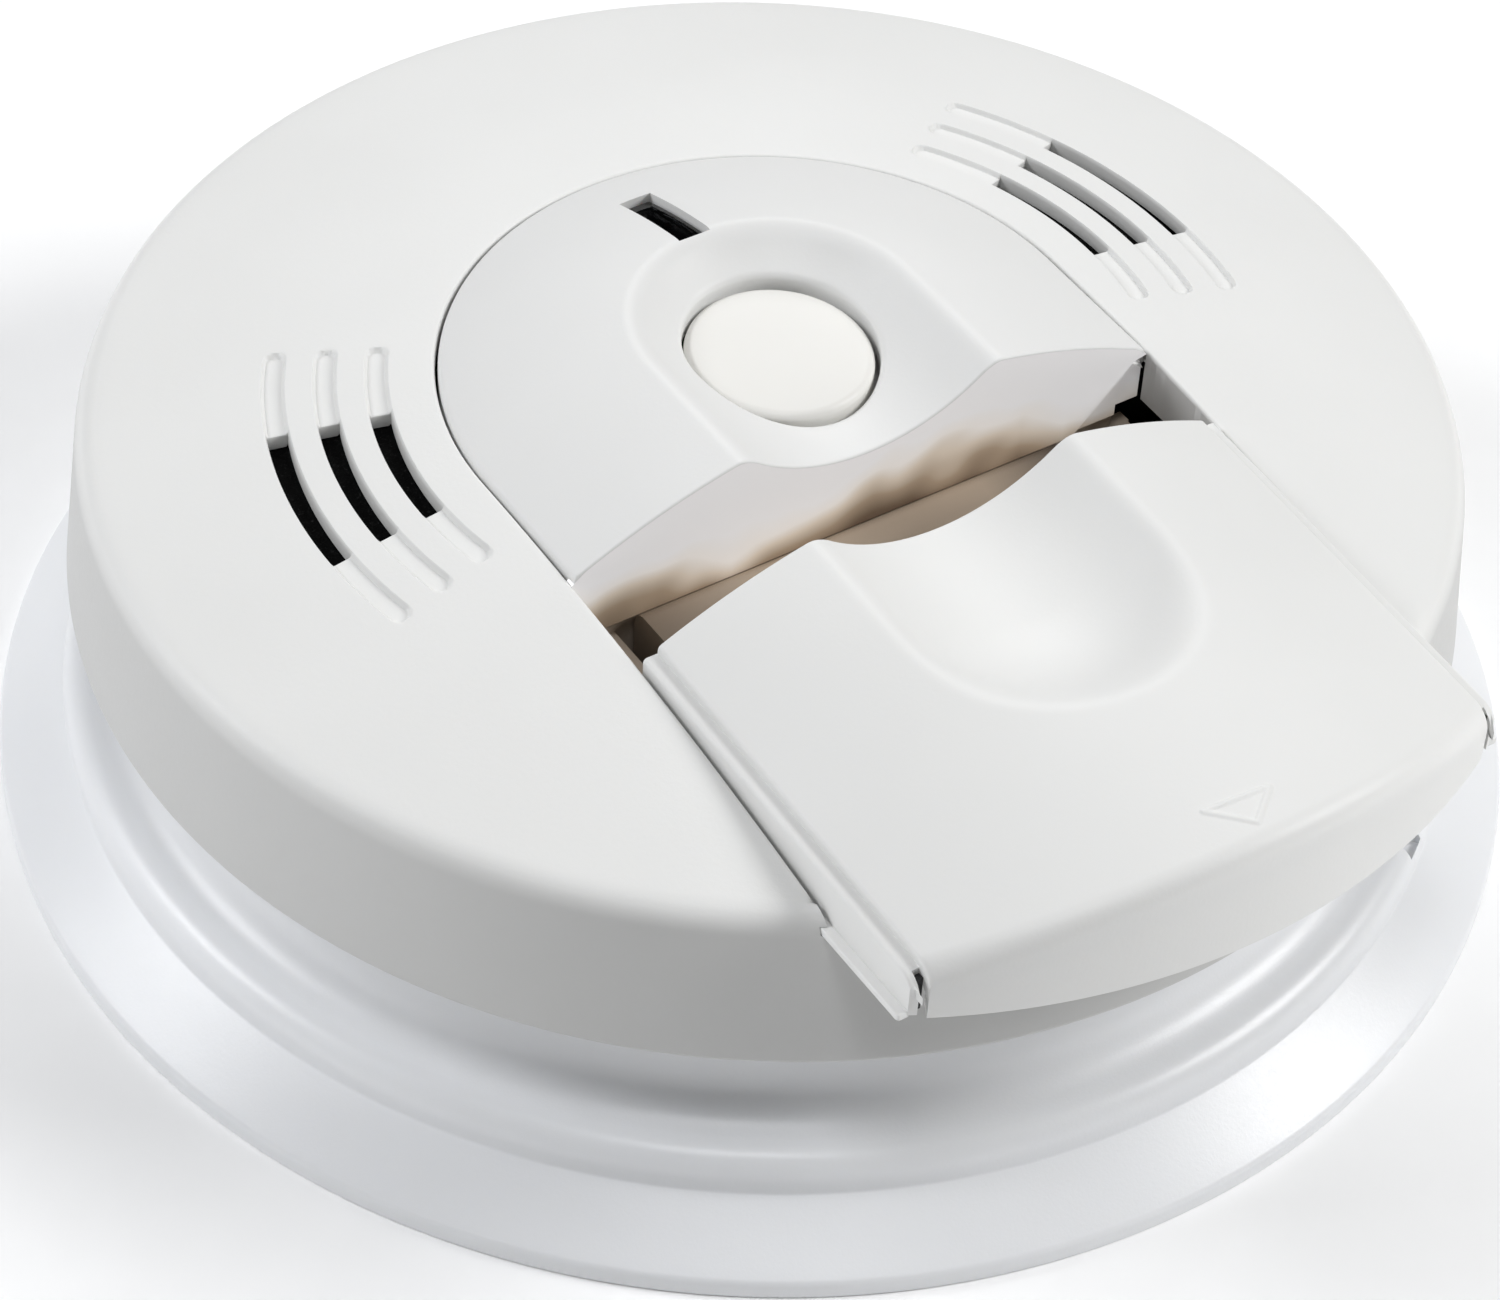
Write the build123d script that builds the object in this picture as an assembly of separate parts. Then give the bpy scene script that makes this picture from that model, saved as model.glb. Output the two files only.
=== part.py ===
"""Hard-wired combination smoke and carbon monoxide alarm with a 9 V battery back-up.

Millimetres, +Z up. The alarm lies on the back of its mounting bracket: the origin is the centre of the
bracket's back face, +Z points out of the front cover and the battery door slides towards -Y. The door is
drawn partly open, at its rest position.
"""
from build123d import *
from math import cos, radians, sin, tan
import os

# Mounting bracket
BRACKET_R = 73.0            # trim ring, 146 mm (5.75 in) across
RIM_HEIGHT = 1.9
BAND_TOP = (66.6, 6.7)      # radius and height where the sloping band meets the shoulder
SHOULDER_TOP = (62.9, 10.5)
NECK_R = 60.4
NECK_TOP = 20.0
WALL = 2.0
WIRING_HOLE_R = 36.0
BOX_SPACING_X = 88.9        # 3.5 in ceiling box screws
BOX_SPACING_Y = 83.3        # 3.28 in single gang box screws
BOX_SLOT_R = 2.3
BOX_SLOT_LENGTH = 12.0
WEB_WINDOW = (42, 54, 44)   # radii and width in degrees of the openings that lighten the web
LUG_Z = (12.6, 14.8)
LUG_REACH = 1.9
STOP_Z = (9.4, 12.6)
STOP_WIDTH = 2.5            # degrees
LUG_ANGLES = (90, 210, 330)
LUG_WIDTH = 22.0            # degrees
TAB_WIDTH = 18.0            # degrees
TAMPER_ANGLE = -55.0        # slot for the tamper pin in the shoulder

# Front cover: a drum under a shallow dome
COVER_BOTTOM_R = 65.6
COVER_TOP_R = 64.0
COVER_BOTTOM = 22.4
DOME_TOP = 45.5
DOME_RADIUS = 301.0
COVER_EDGE_FILLET = 2.6
ARCH_GAP = 0.25
VENT_RADII = (46.0, 41.3, 36.6)
VENT_WIDTH = 2.2
VENT_RECESS = 0.45
VENT_START, VENT_END = -11.3, 33.7      # degrees from the X axis, ends of the shallow groove
SLIT_START, SLIT_END = -0.6, 21.3       # the middle stretch is cut through

# Raised hood shared by the control panel and the battery door
ARCH_R = 31.0
ARCH_EDGE_Y = -15.0
HOOD_TOP = 51.5
HOOD_RADIUS = 68.0
DISH_BOTTOM = 45.2
DISH_RADIUS = 20.0
SHELL = 2.0
FLANGE_BOTTOM = 40.3
SKIRT_BOTTOM = 36.55
SKIRT_THICKNESS = 0.9
SKIRT_RECESS = 0.5          # step back of the skirt's right-hand corner
SKIRT_HALF = 30.6

# Battery door, measured closed
DOOR_HALF_WIDTH = 30.8
DOOR_OPEN_AT_REST = 10.7
DOOR_TILT = 2.8
DOOR_DROP = 0.4
DOOR_BOTTOM = 36.9
DOOR_DISH_FRONT_Y = -29.0
SLOT_HALF_WIDTH = 31.05
SLOT_WALL = 1.95
DECK_TOP = 36.4
DECK_BACK_Y = -41.6
CORNER_X = 28.7             # openings in the back corners of the door's slot, for the moulding's sliders
CORNER_FRONT_Y = -19.1
CORNER_TOP = 37.8
RAIL_Z = (36.9, 37.7)
RAIL_OUT = 1.0
RAIL_CLEARANCE = 0.1
DOOR_FRONT_SLOT = (29.35, 30.1)         # slit between the front wall and each side wall
DOOR_ARROW_Y = -60.0

# Test button
BUTTON_Y = -0.5
BUTTON_RX, BUTTON_RY = 8.5, 9.1
BUTTON_HOLE_RX, BUTTON_HOLE_RY = 8.95, 9.55
BUTTON_TOP = 46.7
STEM_R = 2.0
BUTTON_FLANGE = (41.6, 42.6)
SPRING_SEAT = 34.5

# Back cover, circuit board and battery box
BACK_R = 56.0
BACK_FLOOR = (9.5, 11.5)
BACK_FLANGE = (22.6, 24.4)
BOARD = (13.0, 14.6)
BOARD_R = 53.0
BOX_BOTTOM = 16.8
BOX_FLANGE = (33.2, 34.6)
BOX_WALL = 1.4
BATTERY = (48.5, 26.5, 17.5)            # 9 V block with its snaps
BATTERY_SNAP = 2.8
BATTERY_Y = -27.85
BATTERY_BOTTOM = 19.5
COVER_SCREW_R = 59.8
COVER_SCREW_ANGLES = (40, 140, 220, 320)
BOARD_SCREW_R = 48.0
BOARD_SCREW_ANGLES = (-40, 100, 220)
HORN_AT = (-37.0, 8.0)
CHAMBER_AT = (37.0, 8.0)
SENSOR_AT = (6.0, 43.0)
INLET_AT = (-13.5, 18.0)
LENS_X, LENS_Y = -0.5, 18.75
LENS_SIZE = (3.4, 10.3)
LAMP_SPACING = 4.8
CLEARANCE_HOLE = 0.25       # added to a screw's radius where it passes through
BOSS_R = 2.8
POST_R = 3.0

# Horn, smoke chamber and gas sensor
HORN_R, HORN_INNER_R = 16.0, 14.6
HORN_Z = (22.0, 37.4)
HORN_SOUND_HOLE_R = 8.0
HORN_LEGS = ((-10, 8), (-10, -8), (12, 0))
DISC_Z = (28.0, 28.3, 28.6)
CHAMBER_R, CHAMBER_INNER_R = 16.0, 14.6
CHAMBER_Z = (17.0, 36.6)
CHAMBER_ROOF = 1.4
CHAMBER_VANES = 14
SENSOR_R, SENSOR_BORE_R = 9.5, 7.6
SENSOR_Z = (29.0, 31.0)     # floor of the bore and top of the can
SENSOR_CAP_TOP = 33.4
SNAP_SPACING = 12.7         # between the two studs of a 9 V battery

parts = {}


def turned(*points_and_arcs):
    """Revolve a closed (radius, z) outline: a 2-tuple is a corner, a 4-tuple is an arc's middle and end."""
    edges = []
    first = last = points_and_arcs[0]
    for item in points_and_arcs[1:]:
        if len(item) == 4:
            edges.append(ThreePointArc(last, item[:2], item[2:]))
            last = item[2:]
        else:
            edges.append(Line(last, item))
            last = item
    edges.append(Line(last, first))
    return revolve(Plane.XZ * make_face(edges), Axis.Z)


def block(x, y, z):
    """A box from its (low, high) extents."""
    size = [high - low for low, high in (x, y, z)]
    centre = [(high + low) / 2 for low, high in (x, y, z)]
    return Pos(*centre) * Box(*size)


def rod(at, radius, z):
    """An upright cylinder between two heights."""
    return Pos(at[0], at[1], (z[0] + z[1]) / 2) * Cylinder(radius, z[1] - z[0])


def tube(at, outer, inner, z):
    return rod(at, outer, z) - rod(at, inner, (z[0] - 1, z[1] + 1))


def polar(radius, angle):
    return radius * cos(radians(angle)), radius * sin(radians(angle))


def sector(inner, outer, start, end, z):
    """An upright ring sector between two radii and two angles."""
    ring = make_face([
        RadiusArc(polar(outer, start), polar(outer, end), -outer),
        Line(polar(outer, end), polar(inner, end)),
        RadiusArc(polar(inner, end), polar(inner, start), inner),
        Line(polar(inner, start), polar(outer, start)),
    ])
    return extrude(Pos(0, 0, z[0]) * ring, z[1] - z[0])


def dome_height(radius, top=DOME_TOP):
    """Height of the front cover's dome, or of a surface parallel to it, at a radius."""
    return top - DOME_RADIUS + (DOME_RADIUS**2 - radius**2) ** 0.5


def arch_outline(grow=0.0, front=ARCH_EDGE_Y):
    """Plan of the control panel: a half circle on two straight sides."""
    radius = ARCH_R + grow
    return make_face([
        ThreePointArc((radius, 0), (0, radius), (-radius, 0)),
        Line((-radius, 0), (-radius, front)),
        Line((-radius, front), (radius, front)),
        Line((radius, front), (radius, 0)),
    ])


def hood_ball(drop=0.0):
    """The round back of the hood."""
    return Pos(0, 0, HOOD_TOP - HOOD_RADIUS - drop) * Sphere(HOOD_RADIUS)


def hood_barrel(drop=0.0, tilt=0.0):
    """The straight front of the hood, lying along Y, tipped down to the front by the tilt."""
    centre = HOOD_TOP - HOOD_RADIUS - drop
    return Pos(0, ARCH_EDGE_Y, centre) * Rot(90 + tilt, 0, 0) * Cylinder(HOOD_RADIUS, 260)


def dish_ball(radius):
    """The round back end of the finger dish, about the centre of the alarm."""
    return Pos(0, 0, DISH_BOTTOM + DISH_RADIUS) * Sphere(radius)


def dish_barrel(radius, length, middle=0.0, drop=0.0, tilt=0.0):
    """The straight stretch of the finger dish, lying along Y."""
    return Pos(0, middle, DISH_BOTTOM + DISH_RADIUS - drop) * Rot(90 + tilt, 0, 0) * Cylinder(radius, length)


def ellipse_prism(rx, ry, y, z):
    return extrude(Pos(0, y, z[0]) * Ellipse(rx, ry).face(), z[1] - z[0])


# ---------------------------------------------------------------- mounting bracket
def make_bracket():
    body = turned(
        (BRACKET_R, 0), (BRACKET_R, 0.9), (BRACKET_R - 0.2, 1.6, BRACKET_R - 0.9, RIM_HEIGHT),
        BAND_TOP, (BAND_TOP[0], BAND_TOP[1] + 1.2),
        (BAND_TOP[0] - 0.65, BAND_TOP[1] + 2.75, BAND_TOP[0] - 2.2, BAND_TOP[1] + 3.4),
        SHOULDER_TOP, (NECK_R + 0.65, SHOULDER_TOP[1] + 1.2, NECK_R, SHOULDER_TOP[1] + 3.2),
        (NECK_R, NECK_TOP), (NECK_R - WALL, NECK_TOP), (NECK_R - WALL, WALL), (WIRING_HOLE_R, WALL),
        (WIRING_HOLE_R, 0), (NECK_R, 0), (NECK_R, 8.6), (63.6, 8.2), (64.6, 7.4), (64.6, 5.6),
        (BRACKET_R - WALL, 0.5), (BRACKET_R - WALL, 0),
    )
    inner = NECK_R - WALL
    for angle in LUG_ANGLES:
        body += sector(inner - LUG_REACH, inner + 0.2, angle - LUG_WIDTH / 2, angle + LUG_WIDTH / 2, LUG_Z)
        stop = angle - TAB_WIDTH / 2 - 1
        body += sector(inner - LUG_REACH, inner + 0.2, stop - STOP_WIDTH, stop, STOP_Z)
    slot = SlotOverall(BOX_SLOT_LENGTH, 2 * BOX_SLOT_R).face()
    for side in (-1, 1):
        body -= extrude(Pos(side * BOX_SPACING_X / 2, 0, -1) * slot, 4)
        body -= extrude(Pos(0, side * BOX_SPACING_Y / 2, -1) * Rot(0, 0, 90) * slot, 4)
        for angle in (0, 180):
            middle = angle + side * 45
            window_inner, window_outer, width = WEB_WINDOW
            body -= sector(window_inner, window_outer, middle - width / 2, middle + width / 2, (-1, 3))
    tamper = Pos(65.3, 0, 10.6) * Box(2.2, 3.0, 5.0)
    return body - Rot(0, 0, TAMPER_ANGLE) * tamper


parts["mounting_bracket"] = make_bracket()


# ---------------------------------------------------------------- front cover
def cover_body(shrink=0.0):
    """The drum and dome as a full solid, or the space inside it."""
    top_radius = COVER_TOP_R - shrink
    top = DOME_TOP - shrink
    bottom = COVER_BOTTOM - (1 if shrink else 0)
    return turned(
        (0, bottom), (COVER_BOTTOM_R - shrink, bottom), (top_radius, dome_height(top_radius, top)),
        (top_radius / 2, dome_height(top_radius / 2, top), 0, top),
    )


def arc_slot(radius, start, end, width, z):
    """An upright slot along an arc, with rounded ends, on the +X side."""
    body = sector(radius - width / 2, radius + width / 2, start, end, z)
    for angle in (start, end):
        body += rod(polar(radius, angle), width / 2, z)
    return body


def corner_openings(bottom):
    """The two openings in the back corners of the door's slot."""
    outer = SLOT_HALF_WIDTH + SLOT_WALL + 1
    back = ARCH_EDGE_Y + SKIRT_THICKNESS + BOX_WALL
    right = block((CORNER_X, outer), (CORNER_FRONT_Y, back), (bottom, CORNER_TOP))
    return right + block((-outer, -CORNER_X), (CORNER_FRONT_Y, back), (bottom, CORNER_TOP))


def make_front_cover():
    outside = cover_body()
    bottom_edge, top_edge = outside.edges().sort_by(SortBy.LENGTH)[-1:-3:-1]
    outside = fillet(top_edge, COVER_EDGE_FILLET)
    body = outside - cover_body(WALL)
    wall_y = (-COVER_BOTTOM_R, ARCH_EDGE_Y + SKIRT_THICKNESS)
    slot_x = (-SLOT_HALF_WIDTH, SLOT_HALF_WIDTH)
    for side in (-1, 1):
        x = sorted((side * SLOT_HALF_WIDTH, side * (SLOT_HALF_WIDTH + SLOT_WALL)))
        body += block(x, wall_y, (BOX_FLANGE[1], 60)) & outside
    body += block(slot_x, (-COVER_BOTTOM_R, DECK_BACK_Y), (BOX_FLANGE[1], DECK_TOP)) & outside
    body -= extrude(Pos(0, 0, 30) * arch_outline(ARCH_GAP), 30)
    body -= extrude(Pos(0, 0, 30) * arch_outline(1.7), FLANGE_BOTTOM + 1.2 - 30)
    body -= block(slot_x, (-80, ARCH_EDGE_Y + 1), (DECK_TOP, 60))
    rail = (RAIL_Z[0] - RAIL_CLEARANCE, RAIL_Z[1] + RAIL_CLEARANCE)
    reach = DOOR_HALF_WIDTH + RAIL_OUT + RAIL_CLEARANCE
    body -= block((-reach, reach), (-80, ARCH_EDGE_Y - 0.5), rail)
    for radius in VENT_RADII:
        for turn in (0, 180):
            flip = -1 if turn else 1
            start, end = sorted((flip * VENT_START, flip * VENT_END))
            groove = arc_slot(radius, start, end, VENT_WIDTH, (30, 60))
            groove -= cover_body(VENT_RECESS)
            start, end = sorted((flip * SLIT_START, flip * SLIT_END))
            slit = sector(radius - VENT_WIDTH / 2, radius + VENT_WIDTH / 2, start, end, (30, 60))
            body -= Rot(0, 0, turn) * (groove + slit)
    for angle in COVER_SCREW_ANGLES:
        at = polar(COVER_SCREW_R, angle)
        body += rod(at, BOSS_R, (BACK_FLANGE[1], 37.4))
        body -= rod(at, 1.3, (BACK_FLANGE[1] - 1, 35.0))
    return body - corner_openings(BOX_FLANGE[1])


parts["front_cover"] = make_front_cover()


# ---------------------------------------------------------------- control panel, lens and button
def make_control_panel():
    """A raised hood in two halves that meet on the centre line: round behind it and straight in front."""
    plan = extrude(Pos(0, 0, FLANGE_BOTTOM) * arch_outline(), 20)
    inner_plan = extrude(Pos(0, 0, 30) * arch_outline(-1.6, ARCH_EDGE_Y + 1.6), 30)
    behind = block((-40, 40), (0, 40), (30, 60))
    ahead = block((-40, 40), (-40, 0), (30, 60))
    body = (plan & behind & hood_ball()) - dish_ball(DISH_RADIUS)
    body -= (inner_plan & behind & hood_ball(SHELL)) - dish_ball(DISH_RADIUS + SHELL)
    front = (plan & ahead & hood_barrel()) - dish_barrel(DISH_RADIUS, 100)
    front -= (inner_plan & ahead & hood_barrel(SHELL)) - dish_barrel(DISH_RADIUS + SHELL, 100)
    body += front
    body += extrude(Pos(0, 0, FLANGE_BOTTOM) * arch_outline(1.4), 1.0) - inner_plan
    skirt_y = (ARCH_EDGE_Y, ARCH_EDGE_Y + SKIRT_THICKNESS)
    skirt = block((-SKIRT_HALF, SKIRT_HALF), skirt_y, (SKIRT_BOTTOM, 60)) & hood_barrel()
    skirt -= dish_barrel(DISH_RADIUS, 100)
    recess_end = SKIRT_HALF + 0.1
    recess = make_face(Polyline(
        (recess_end, 43.8), (23.5, SKIRT_BOTTOM), (recess_end, SKIRT_BOTTOM), close=True))
    skirt -= Pos(0, ARCH_EDGE_Y, 0) * extrude(Plane.XZ * recess, SKIRT_RECESS, both=True)
    body += skirt - corner_openings(SKIRT_BOTTOM - 1)
    body -= ellipse_prism(BUTTON_HOLE_RX, BUTTON_HOLE_RY, BUTTON_Y, (38, 60))
    x, y = LENS_SIZE
    return body - block((LENS_X - x / 2, LENS_X + x / 2), (LENS_Y - y / 2, LENS_Y + y / 2), (38, 60))


parts["control_panel"] = make_control_panel()


def make_lens():
    """Clear lens set a little below the hood, with a stalk that carries the light up from the board."""
    x, y = (side - 0.2 for side in LENS_SIZE)
    step_z = (39.3, 40.5)
    head = block((-x / 2, x / 2), (-y / 2, y / 2), (step_z[1], 60))
    head &= Pos(-LENS_X, -LENS_Y, 0) * hood_ball(0.9)
    head += block((-x / 2 - 1, x / 2 + 1), (-y / 2 - 1, y / 2 + 1), step_z)
    return Pos(LENS_X, LENS_Y, 0) * (head + block((-1.5, 1.5), (-4, 4), (18.5, step_z[0])))


parts["status_lens"] = make_lens()
parts["status_leds"] = Compound([
    rod((LENS_X, LENS_Y + y), 1.5, (BOARD[1], 17.2)) + Pos(LENS_X, LENS_Y + y, 17.2) * Sphere(1.0)
    for y in (-LAMP_SPACING / 2, LAMP_SPACING / 2)])


def make_button():
    cap = ellipse_prism(BUTTON_RX, BUTTON_RY, BUTTON_Y, (BUTTON_FLANGE[1], BUTTON_TOP))
    cap = fillet(cap.faces().sort_by(Axis.Z)[-1].edges(), 0.9)
    cap += ellipse_prism(BUTTON_RX + 1.3, BUTTON_RY + 1.3, BUTTON_Y, BUTTON_FLANGE)
    return cap + rod((0, BUTTON_Y), STEM_R, (19.6, BUTTON_FLANGE[0]))


parts["test_button"] = make_button()


def make_button_guide():
    at = (0, BUTTON_Y)
    body = block((-30.6, 30.6), (BUTTON_Y - 4, BUTTON_Y + 4), (38.4, FLANGE_BOTTOM))
    body -= rod(at, 5.0, (30, 50))
    body += tube(at, 6.2, 5.0, (33.0, FLANGE_BOTTOM))
    return body + tube(at, 5.4, STEM_R + 0.08, (33.0, SPRING_SEAT))


parts["button_guide"] = make_button_guide()


def make_button_spring():
    height = BUTTON_FLANGE[0] - SPRING_SEAT
    wire = 0.35
    path = Helix(pitch=(height - 2 * wire) / 5, height=height - 2 * wire, radius=3.5)
    section = Plane(origin=path @ 0, z_dir=path % 0) * Circle(wire)
    return Pos(0, BUTTON_Y, SPRING_SEAT + wire) * sweep(section, path)


parts["button_spring"] = make_button_spring()
switch = block((-3, 3), (BUTTON_Y - 3, BUTTON_Y + 3), (BOARD[1], 18.2))
parts["switch_body"] = switch - rod((0, BUTTON_Y), 1.75, (16.0, 19))
parts["switch_plunger"] = rod((0, BUTTON_Y), 1.7, (17.2, 19.6))


# ---------------------------------------------------------------- battery door
def make_door():
    """The sliding door, drawn closed and then moved to its rest position."""
    def plan(inset, back):
        half = DOOR_HALF_WIDTH - inset
        drum = rod((0, 0), COVER_TOP_R - inset, (DOOR_BOTTOM, 60))
        return drum & block((-half, half), (-80, back), (DOOR_BOTTOM, 60))

    def dish(radius):
        end_height = DISH_BOTTOM + DISH_RADIUS - DOOR_DROP + end_drop
        front_end = Pos(0, DOOR_DISH_FRONT_Y, end_height) * Sphere(radius)
        reach = 40.0 / cos(radians(DOOR_TILT))
        middle = DOOR_DISH_FRONT_Y + 20.0
        lift = -tan(radians(DOOR_TILT)) * (middle - ARCH_EDGE_Y)
        return dish_barrel(radius, reach, middle, DOOR_DROP + lift, DOOR_TILT), front_end

    end_drop = tan(radians(DOOR_TILT)) * (DOOR_DISH_FRONT_Y - ARCH_EDGE_Y)
    body = plan(0, ARCH_EDGE_Y - 0.3) & hood_barrel(DOOR_DROP, DOOR_TILT)
    front_edge = [edge for edge in body.edges()
                  if edge.center().Z > DOOR_BOTTOM + 3 and edge.center().Y < -COVER_TOP_R + 12]
    body = fillet(front_edge, 1.6)
    hollow = plan(1.6, ARCH_EDGE_Y + 10) & hood_barrel(DOOR_DROP + SHELL, DOOR_TILT)
    for piece in dish(DISH_RADIUS):
        body -= piece
    for piece in dish(DISH_RADIUS + SHELL):
        hollow -= piece
    body -= hollow
    for side in (-1, 1):
        x = sorted((side * (DOOR_HALF_WIDTH - 0.2), side * (DOOR_HALF_WIDTH + RAIL_OUT)))
        rail = block(x, (-57.0, ARCH_EDGE_Y - 1.5), RAIL_Z)
        body += fillet(rail.edges().filter_by(Axis.Z), 0.45)
        x = sorted(side * edge for edge in DOOR_FRONT_SLOT)
        body -= block(x, (-60, -54.0), (DOOR_BOTTOM - 1, 40.6))
    arrow = make_face(Polyline((-3.3, 1.6), (3.3, 1.6), (0, -1.6), close=True))
    surface = HOOD_TOP - DOOR_DROP + tan(radians(DOOR_TILT)) * (DOOR_ARROW_Y - ARCH_EDGE_Y)
    body -= Pos(0, DOOR_ARROW_Y, surface - 0.3) * Rot(DOOR_TILT, 0, 0) * extrude(arrow, 3)
    return Pos(0, -DOOR_OPEN_AT_REST, 0) * body


parts["battery_door"] = make_door()


# ---------------------------------------------------------------- back cover, screws and board
def make_back_cover():
    body = turned(
        (0, BACK_FLOOR[0]), (BACK_R, BACK_FLOOR[0]), (BACK_R, BACK_FLANGE[0]), (63.1, BACK_FLANGE[0]),
        (63.1, BACK_FLANGE[1]), (BACK_R - WALL, BACK_FLANGE[1]), (BACK_R - WALL, BACK_FLOOR[1]),
        (0, BACK_FLOOR[1]),
    )
    for angle in LUG_ANGLES:
        body += sector(BACK_R - 0.5, BACK_R + 2.0, angle - TAB_WIDTH / 2, angle + TAB_WIDTH / 2,
                       (BACK_FLOOR[0] + 0.5, 12.3))
    for step in range(12):
        body -= sector(BACK_R - 3, BACK_R + 1, step * 30 + 10, step * 30 + 20, (17.0, 20.5))
    for angle in COVER_SCREW_ANGLES:
        body -= rod(polar(COVER_SCREW_R, angle), 1.25 + CLEARANCE_HOLE, (20, 26))
    for angle in BOARD_SCREW_ANGLES:
        at = polar(BOARD_SCREW_R, angle)
        body += rod(at, POST_R, (BACK_FLOOR[1], BOARD[0]))
        body -= rod(at, 1.05, (BACK_FLOOR[0] + 0.6, 20))
    x, y = INLET_AT
    return body - block((x - 10.2, x + 10.2), (y - 6.7, y + 6.7), (5, 20))


parts["back_cover"] = make_back_cover()


def screws(radius, angles, shank_r, head_r, head, tip):
    """Pan head screws on a circle, with the head between two heights and the shank up or down to the tip."""
    shank = sorted((tip, head[0] if tip < head[0] else head[1]))
    cross_z = (head[0] - 1, head[0] + 0.8) if tip > head[1] else (head[1] - 0.8, head[1] + 1)
    group = []
    for angle in angles:
        at = polar(radius, angle)
        screw = rod(at, head_r, head) + rod(at, shank_r, shank)
        for turn in (0, 90):
            middle = Pos(at[0], at[1], sum(cross_z) / 2) * Rot(0, 0, turn)
            screw -= middle * Box(2.4, 0.6, cross_z[1] - cross_z[0])
        group.append(screw)
    return Compound(group)


parts["cover_screws"] = screws(COVER_SCREW_R, COVER_SCREW_ANGLES, 1.25, 2.5, (20.9, BACK_FLANGE[0]), 34.0)
parts["board_screws"] = screws(BOARD_SCREW_R, BOARD_SCREW_ANGLES, 1.0, 2.2, (BOARD[1], 16.2), 10.5)


def make_board():
    body = rod((0, 0), BOARD_R, BOARD)
    for angle in BOARD_SCREW_ANGLES:
        body -= rod(polar(BOARD_SCREW_R, angle), 1.0 + CLEARANCE_HOLE, (10, 20))
    x, y = INLET_AT
    return body - block((x - 10.1, x + 10.1), (y - 6.6, y + 6.6), (5, 20))


parts["circuit_board"] = make_board()


# ---------------------------------------------------------------- battery and its box
def make_battery_box():
    x_inner, y_inner = (-26.0, 29.4), (-41.4, ARCH_EDGE_Y + SKIRT_THICKNESS)
    x_outer = (x_inner[0] - BOX_WALL, x_inner[1] + BOX_WALL)
    y_outer = (y_inner[0] - BOX_WALL, y_inner[1] + BOX_WALL)
    body = block(x_outer, y_outer, (BOX_BOTTOM, BOX_FLANGE[1]))
    body += block((-33.0, 33.0), (y_outer[0], ARCH_EDGE_Y - 3.5), BOX_FLANGE)
    body -= block(x_inner, y_inner, (BOX_BOTTOM + BOX_WALL, 40))
    body += block((-31.0, 31.0), (y_inner[1], y_outer[1]), (BOX_FLANGE[0], FLANGE_BOTTOM - 0.2))
    body -= corner_openings(BOX_FLANGE[1])
    for x in (-18, 18):
        body += block((x - 1, x + 1), (-39, -17), (BOX_BOTTOM + BOX_WALL, BATTERY_BOTTOM))
    return body


parts["battery_box"] = make_battery_box()

length, width, height = BATTERY
battery_z = (BATTERY_BOTTOM, BATTERY_BOTTOM + height)
battery_y = (BATTERY_Y - width / 2, BATTERY_Y + width / 2)
can_end = length / 2 - BATTERY_SNAP
can = block((-length / 2, can_end), battery_y, battery_z)
parts["battery_can"] = fillet(can.edges().filter_by(Axis.X), 1.6)


def snap(y, outer, inner):
    """One press-stud terminal, standing out of the end of the battery."""
    z = sum(battery_z) / 2
    post = Pos(can_end + BATTERY_SNAP / 2, y, z) * Rot(0, 90, 0) * Cylinder(outer, BATTERY_SNAP)
    return post - Pos(length / 2, y, z) * Rot(0, 90, 0) * Cylinder(inner, 3.0)


parts["battery_terminals"] = Compound([
    snap(BATTERY_Y - SNAP_SPACING / 2, 2.8, 1.2),
    snap(BATTERY_Y + SNAP_SPACING / 2, 4.0, 2.9),
])
parts["snap_plate"] = block(
    (24.5, 26.1), (battery_y[0] + 0.5, battery_y[1] - 0.5), (BATTERY_BOTTOM, 33.0))


def contact_clip(y):
    """A bent strip behind the snap plate that carries the current down to the board."""
    strip = block((26.1, 26.5), (y - 2.5, y + 2.5), (BATTERY_BOTTOM, 31.5))
    return strip + block((26.1, 28.6), (y - 2.5, y + 2.5), (31.5, 31.9))


parts["contact_clips"] = Compound([
    contact_clip(BATTERY_Y + side * SNAP_SPACING / 2) for side in (-1, 1)])


# ---------------------------------------------------------------- horn
parts["horn_housing"] = (
    tube(HORN_AT, HORN_R, HORN_INNER_R, HORN_Z)
    + tube(HORN_AT, HORN_INNER_R + 0.2, HORN_SOUND_HOLE_R, (HORN_Z[0], HORN_Z[0] + 1.6))
    + sum((tube((HORN_AT[0] + x, HORN_AT[1] + y), 2.0, 1.0, (BOARD[1], HORN_Z[0]))
           for x, y in HORN_LEGS), Part()))
parts["horn_disc"] = rod(HORN_AT, 14.4, DISC_Z[:2]) + rod(HORN_AT, 9.0, DISC_Z[1:])
parts["horn_ring"] = tube(HORN_AT, 14.4, 12.0, (HORN_Z[0] + 1.8, DISC_Z[0] - 0.1))


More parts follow.
